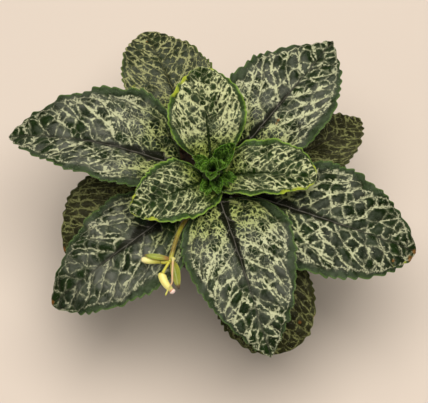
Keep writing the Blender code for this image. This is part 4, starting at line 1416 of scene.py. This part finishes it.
POT_HEIGHT = 80 * MM
POT_FOOT_RADIUS = 31 * MM
POT_COLLAR_RADIUS = 45 * MM
POT_COLLAR_HEIGHT = 11 * MM
POT_COLLAR_STEP = 1.6 * MM
POT_WALL = 1.5 * MM
POT_FLOOR = 2 * MM
POT_EDGE = 0.8 * MM
POT_SIDES = 144
DRAIN_HOLES = 6
DRAIN_RADIUS = 3.5 * MM
DRAIN_CIRCLE = 21 * MM
DRAIN_START = 0.5 / 48
DRILL_REACH = 4 * MM
DRILL_SIDES = 32
MOULD_ROUNDING = 0.3 * MM


def wall_radius(height, inset=0.0):
    """Radius of the pot's tapered outer wall at a height, drawn in by an inset."""
    slope = (POT_COLLAR_RADIUS - POT_COLLAR_STEP - POT_FOOT_RADIUS) / POT_HEIGHT
    return POT_FOOT_RADIUS + slope * height - inset


def pot_mesh(finish):
    """The turned wall with its holes drilled and its edges rounded."""
    collar_foot = POT_HEIGHT - POT_COLLAR_HEIGHT
    profile = [
        (0, 0),
        (POT_FOOT_RADIUS - POT_EDGE, 0),
        (POT_FOOT_RADIUS, POT_EDGE),
        (wall_radius(collar_foot), collar_foot),
        (POT_COLLAR_RADIUS - POT_EDGE, collar_foot + POT_EDGE),
        (POT_COLLAR_RADIUS, POT_HEIGHT - POT_EDGE),
        (POT_COLLAR_RADIUS - POT_EDGE, POT_HEIGHT),
        (wall_radius(POT_HEIGHT, POT_WALL), POT_HEIGHT),
        (wall_radius(POT_FLOOR, POT_WALL), POT_FLOOR),
        (0, POT_FLOOR),
    ]
    pot = link("pot_wall", turned_mesh("pot_wall", profile, POT_SIDES), finish)
    bit = [(0, -DRILL_REACH), (DRAIN_RADIUS, -DRILL_REACH), (DRAIN_RADIUS, DRILL_REACH), (0, DRILL_REACH)]
    drills = []
    for index in range(DRAIN_HOLES):
        angle = math.tau * (index / DRAIN_HOLES + DRAIN_START)
        drill = turned_mesh("drill", bit, DRILL_SIDES)
        drill.transform(
            Matrix.Translation((DRAIN_CIRCLE * math.cos(angle), DRAIN_CIRCLE * math.sin(angle), 0))
        )
        drills.append(link(f"drill_{index + 1}", drill))
        hole = pot.modifiers.new(f"hole_{index + 1}", "BOOLEAN")
        hole.operation = "DIFFERENCE"
        hole.solver = "EXACT"
        hole.object = drills[-1]
    rounding = pot.modifiers.new("rounding", "BEVEL")
    rounding.width = MOULD_ROUNDING
    rounding.segments = 2
    rounding.limit_method = "ANGLE"
    rounding.angle_limit = math.radians(25)
    mesh = plain_mesh(pot)
    for piece in (pot, *drills):
        bpy.data.objects.remove(piece)
    return mesh


def pot_finish():
    """Charcoal polypropylene from a mould: satin, with a fine grain, scuffs, and dust towards the foot."""
    made, tree, shader = new_material("moulded_polypropylene")
    place = object_place(tree)
    cloud = add(tree, NOISE, {"Vector": place, "Scale": 1 / (14 * MM), "Detail": 5.0})
    dust = add(tree, RANGE, {"Value": cloud, "From Min": 0.5, "From Max": 0.75, "To Max": 0.35})
    height = add(tree, SPLIT, {0: place}).outputs[2]
    low = add(tree, RANGE, {"Value": height, "From Min": 25 * MM, "From Max": 0.0, "To Max": 0.25})
    dust = add(tree, MATH, {0: dust, 1: low}, operation="ADD")
    stretched = add(tree, "ShaderNodeMapping", {"Vector": place, "Scale": (1, 1, 0.12)})
    scuff = add(tree, NOISE, {"Vector": stretched, "Scale": 1 / (1.2 * MM), "Detail": 3.0})
    scuff = add(tree, RANGE, {"Value": scuff, "From Min": 0.62, "From Max": 0.72})
    skin = add(tree, MIX, {0: dust, 6: colour("#2a2a29"), 7: colour("#6b6252")}, data_type="RGBA")
    skin = add(tree, MIX, {0: scuff, 6: skin, 7: colour("#3c3b39")}, data_type="RGBA")
    rough = add(tree, RANGE, {"Value": cloud, "To Min": 0.34, "To Max": 0.62})
    feed(tree, shader.inputs["Roughness"], rough)
    grain = add(tree, NOISE, {"Vector": place, "Scale": 1 / (0.4 * MM), "Detail": 2.0})
    end_finish(tree, shader, skin, grain, 0.25, 0.05 * MM)
    return made


finish_piece(link("pot_body", pot_mesh(pot_finish())), "pot_plastic", "pot", sharp=30)

# %% [markdown]
# ## The potting mix
#
# Growers use an open mix for this plant: peat crumbs, flakes of composted bark and white perlite. The body of
# the mix is turned like the pot, its top rising to a low mound. A geometry tree breaks the top up into
# crumbs. Loose grains are scattered by another tree, which makes a grain from an icosphere, flattens it,
# turns it at random, and gives each its own dents and a random tint.

# %% Mix finishes
def grain_finish(name, dark, light, size):
    """A dry matt grain whose tint differs from grain to grain."""
    made, tree, shader = new_material(name, Roughness=0.9)
    place = object_place(tree)
    tint = add(tree, "ShaderNodeAttribute", attribute_name="tint").outputs["Fac"]
    grit = add(tree, NOISE, {"Vector": place, "Scale": 1 / size, "Detail": 4.0})
    share = add(tree, MATH, {0: tint, 1: 0.6, 2: grit}, operation="MULTIPLY_ADD")
    share = add(tree, RANGE, {"Value": share, "From Min": 0.3, "From Max": 1.3})
    skin = add(tree, MIX, {0: share, 6: colour(dark), 7: colour(light)}, data_type="RGBA")
    end_finish(tree, shader, skin, grit, 0.8, 0.3 * MM)
    return made


peat = grain_finish("damp_peat", "#1d140c", "#4a3624", 1.2 * MM)
bark = grain_finish("composted_bark", "#20140a", "#513820", 1.5 * MM)
perlite = grain_finish("expanded_perlite", "#8e8a7d", "#c9c5b8", 0.8 * MM)
print("mix finishes:", peat.name, bark.name, perlite.name)

# %% Mix body
MIX_TOP = 71 * MM
MIX_CROWNING = 2.5 * MM
MIX_BUMP = 25 * MM
MIX_SIDES = 144
MIX_RINGS = 60
SEAT_GAP = 0.3 * MM


def mix_height(x, y):
    """Height of the mix's mounded, uneven surface."""
    mound = MIX_CROWNING * (1 - (x * x + y * y) / wall_radius(MIX_TOP, POT_WALL) ** 2)
    along = math.tau * x / MIX_BUMP
    over = math.tau * y / MIX_BUMP
    bumps = np.sin(along + 1.0) * np.cos(1.1 * over) + 0.6 * np.sin(0.7 * along + 1.3 * over)
    return MIX_TOP + mound + 0.9 * MM * bumps / 1.6


CLOD_LEVEL = 0.62
CLOD_CONTRAST = 3.0


def crumble_tree():
    """Breaks up the top of the mix: clods of one size with crumbs of another on them."""
    tree, given = new_tree(
        "crumbled_mix",
        {"Clod": ("Float", 6 * MM), "Height": ("Float", 1.6 * MM), "Finish": ("Material", None)},
    )
    place = add(tree, "GeometryNodeInputPosition")
    top = add(tree, STORED, {"Name": "top"}, data_type="FLOAT_VECTOR")
    scale = add(tree, MATH, {0: 1.0, 1: given["Clod"]}, operation="DIVIDE")
    noise = add(tree, NOISE, {"Vector": place, "Scale": scale, "Detail": 4.0, "Roughness": 0.7})
    centred = add(tree, MATH, {0: noise, 1: CLOD_LEVEL}, operation="SUBTRACT")
    raised = add(tree, MATH, {0: centred, 1: given["Height"]}, operation="MULTIPLY")
    raised = add(tree, MATH, {0: raised, 1: CLOD_CONTRAST}, operation="MULTIPLY")
    offset = add(tree, VECTOR, {0: top, "Scale": raised}, operation="SCALE")
    moved = add(tree, "GeometryNodeSetPosition", {"Geometry": given["Geometry"], "Offset": offset})
    return end_tree(tree, moved, given["Finish"])


def mix_body():
    """The mix as one solid inside the pot, its top mounded and crumbled."""
    inset = POT_WALL + SEAT_GAP
    floor = POT_FLOOR + SEAT_GAP
    edge = wall_radius(MIX_TOP, inset)
    rings = [(edge * (1 - k / MIX_RINGS), MIX_TOP) for k in range(MIX_RINGS)]
    profile = [(0, floor), (wall_radius(floor, inset), floor), *rings, (0, MIX_TOP)]
    mesh = turned_mesh("mix_body", profile, MIX_SIDES)
    places = np.array([vertex.co for vertex in mesh.vertices])
    on_top = places[:, 2] > MIX_TOP - MM
    places[on_top, 2] = mix_height(places[on_top, 0], places[on_top, 1])
    mesh.vertices.foreach_set("co", places.ravel())
    held = mesh.attributes.new("top", "FLOAT_VECTOR", "POINT")
    inward = np.hypot(places[:, 0], places[:, 1]) < edge - 0.5 * MM
    held.data.foreach_set("vector", np.outer(on_top & inward, (0, 0, 1)).astype(np.float32).ravel())
    return run_nodes(mesh, crumble_tree(), Finish=peat)


finish_piece(link("mix_peat", mix_body()), "potting_mix", "potting_mix")

# %% Loose grains
def grain_tree(name):
    """Scatters dented grains over a surface. Stretch gives their proportions."""
    tree, given = new_tree(
        name,
        {
            "Per_Square_Metre": ("Float", 20000.0),
            "Size": ("Float", 3 * MM),
            "Stretch": ("Vector", (1, 1, 1)),
            "Dent": ("Float", 0.5 * MM),
            "Seed": ("Int", 1),
            "Finish": ("Material", None),
        },
    )
    points = add(
        tree,
        "GeometryNodeDistributePointsOnFaces",
        {"Mesh": given["Geometry"], "Density": given["Per_Square_Metre"], "Seed": given["Seed"]},
    )
    radius = add(tree, MATH, {0: given["Size"], 1: 0.5}, operation="MULTIPLY")
    ball = add(tree, "GeometryNodeMeshIcoSphere", {"Radius": radius, "Subdivisions": 2})
    turn = add(
        tree,
        RANDOM,
        {0: (-0.5, -0.5, 0.0), 1: (0.5, 0.5, math.tau), "Seed": given["Seed"]},
        data_type="FLOAT_VECTOR",
    )
    grown = add(tree, RANDOM, {2: 0.55, 3: 1.25, "Seed": given["Seed"]}).outputs[1]
    scale = add(tree, VECTOR, {0: given["Stretch"], "Scale": grown}, operation="SCALE")
    placed = {"Points": points, "Instance": ball, "Rotation": turn, "Scale": scale}
    grains = add(tree, "GeometryNodeInstanceOnPoints", placed)
    shade = add(tree, RANDOM, {2: 0.0, 3: 1.0, "Seed": given["Seed"]}).outputs[1]
    tinted = add(
        tree,
        "GeometryNodeStoreNamedAttribute",
        {"Geometry": grains, "Name": "tint", "Value": shade},
        data_type="FLOAT",
        domain="INSTANCE",
    )
    solid = add(tree, "GeometryNodeRealizeInstances", {"Geometry": tinted})
    place = add(tree, "GeometryNodeInputPosition")
    noise = add(tree, NOISE, {"Vector": place, "Scale": 1 / (1.8 * MM), "Detail": 2.0}).outputs["Color"]
    centred = add(tree, VECTOR, {0: noise, 1: (0.5, 0.5, 0.5)}, operation="SUBTRACT")
    dented = add(tree, VECTOR, {0: centred, "Scale": given["Dent"]}, operation="SCALE")
    moved = add(tree, "GeometryNodeSetPosition", {"Geometry": solid, "Offset": dented})
    return end_tree(tree, moved, given["Finish"])


def mix_surface():
    """The top of the mix as an open sheet, clear of the pot wall and of the stem."""
    sides, rings = 64, 24
    radius = np.linspace(STEM_RADIUS + 2 * MM, wall_radius(MIX_TOP, POT_WALL) - 3.5 * MM, rings)
    turn = math.tau * np.arange(sides + 1) / sides
    x = radius[:, None] * np.cos(turn)
    y = radius[:, None] * np.sin(turn)
    points = np.stack([x, y, mix_height(x, y)], 2).reshape(-1, 3)
    wide = sides + 1
    faces = [
        (r * wide + s, (r + 1) * wide + s, (r + 1) * wide + s + 1, r * wide + s + 1)
        for r in range(rings - 1)
        for s in range(sides)
    ]
    mesh = bpy.data.meshes.new("mix_surface")
    mesh.from_pydata(points.tolist(), [], faces)
    return mesh


# name: grains to a square metre, size, stretch, depth of dents, seed, finish
GRAINS = {
    "mix_bark": (42000.0, 5.5 * MM, (1.0, 0.62, 0.26), 1.6 * MM, 3, bark),
    "mix_crumbs": (190000.0, 2.2 * MM, (1.0, 0.85, 0.7), 1.4 * MM, 5, peat),
    "mix_perlite": (9000.0, 2.6 * MM, (1.0, 0.9, 0.8), 1.2 * MM, 7, perlite),
}
for name, row in GRAINS.items():
    values = dict(zip(("Per_Square_Metre", "Size", "Stretch", "Dent", "Seed", "Finish"), row))
    grains = run_nodes(mix_surface(), grain_tree(name + "_scatter"), **values)
    finish_piece(link(name, grains), "potting_mix")

# %% [markdown]
# ## The floor and the light
#
# The plant stands on a plain pale floor. The photograph has soft daylight from above, so one broad panel
# hangs over the plant, a weak one fills from the left front, and the sky is an even warm white.

# %% Floor and lights
FLOOR_SIZE = 6.0


def make_floor():
    """A plain painted floor, which is staging and no part of the plant."""
    made, tree, shader = new_material("floor_paint", Roughness=0.9)
    feed(tree, shader.inputs["Base Color"], colour("#d6cabf"))
    mesh = bpy.data.meshes.new("floor")
    corner = FLOOR_SIZE / 2
    mesh.from_pydata(
        [(-corner, -corner, 0), (corner, -corner, 0), (corner, corner, 0), (-corner, corner, 0)],
        [],
        [(0, 1, 2, 3)],
    )
    link("floor", mesh, made)


def make_panel(name, place, size, watts, tint):
    """A square light panel aimed at the crown."""
    data = bpy.data.lights.new(name, "AREA")
    data.size = size
    data.energy = watts
    data.color = colour(tint)[:3]
    panel = bpy.data.objects.new(name, data)
    panel.location = place
    panel.rotation_euler = (CROWN_CENTRE - Vector(place)).to_track_quat("-Z", "Y").to_euler()
    bpy.context.scene.collection.objects.link(panel)


def make_sky(tint, strength):
    """Even light from all round."""
    world = bpy.data.worlds.new("sky")
    world.use_nodes = True
    background = world.node_tree.nodes["Background"]
    background.inputs["Color"].default_value = colour(tint)
    background.inputs["Strength"].default_value = strength
    bpy.context.scene.world = world


make_floor()
make_panel("panel_above", (0.06, 0.08, 1.35), 1.2, 22.5, "#fff9f0")
make_panel("panel_front", (-0.9, -0.9, 1.1), 1.0, 2.0, "#fffaf4")
make_sky("#fbf6ef", 0.25)
bpy.context.scene.view_settings.view_transform = "Standard"
print("floor, two panels and a sky")
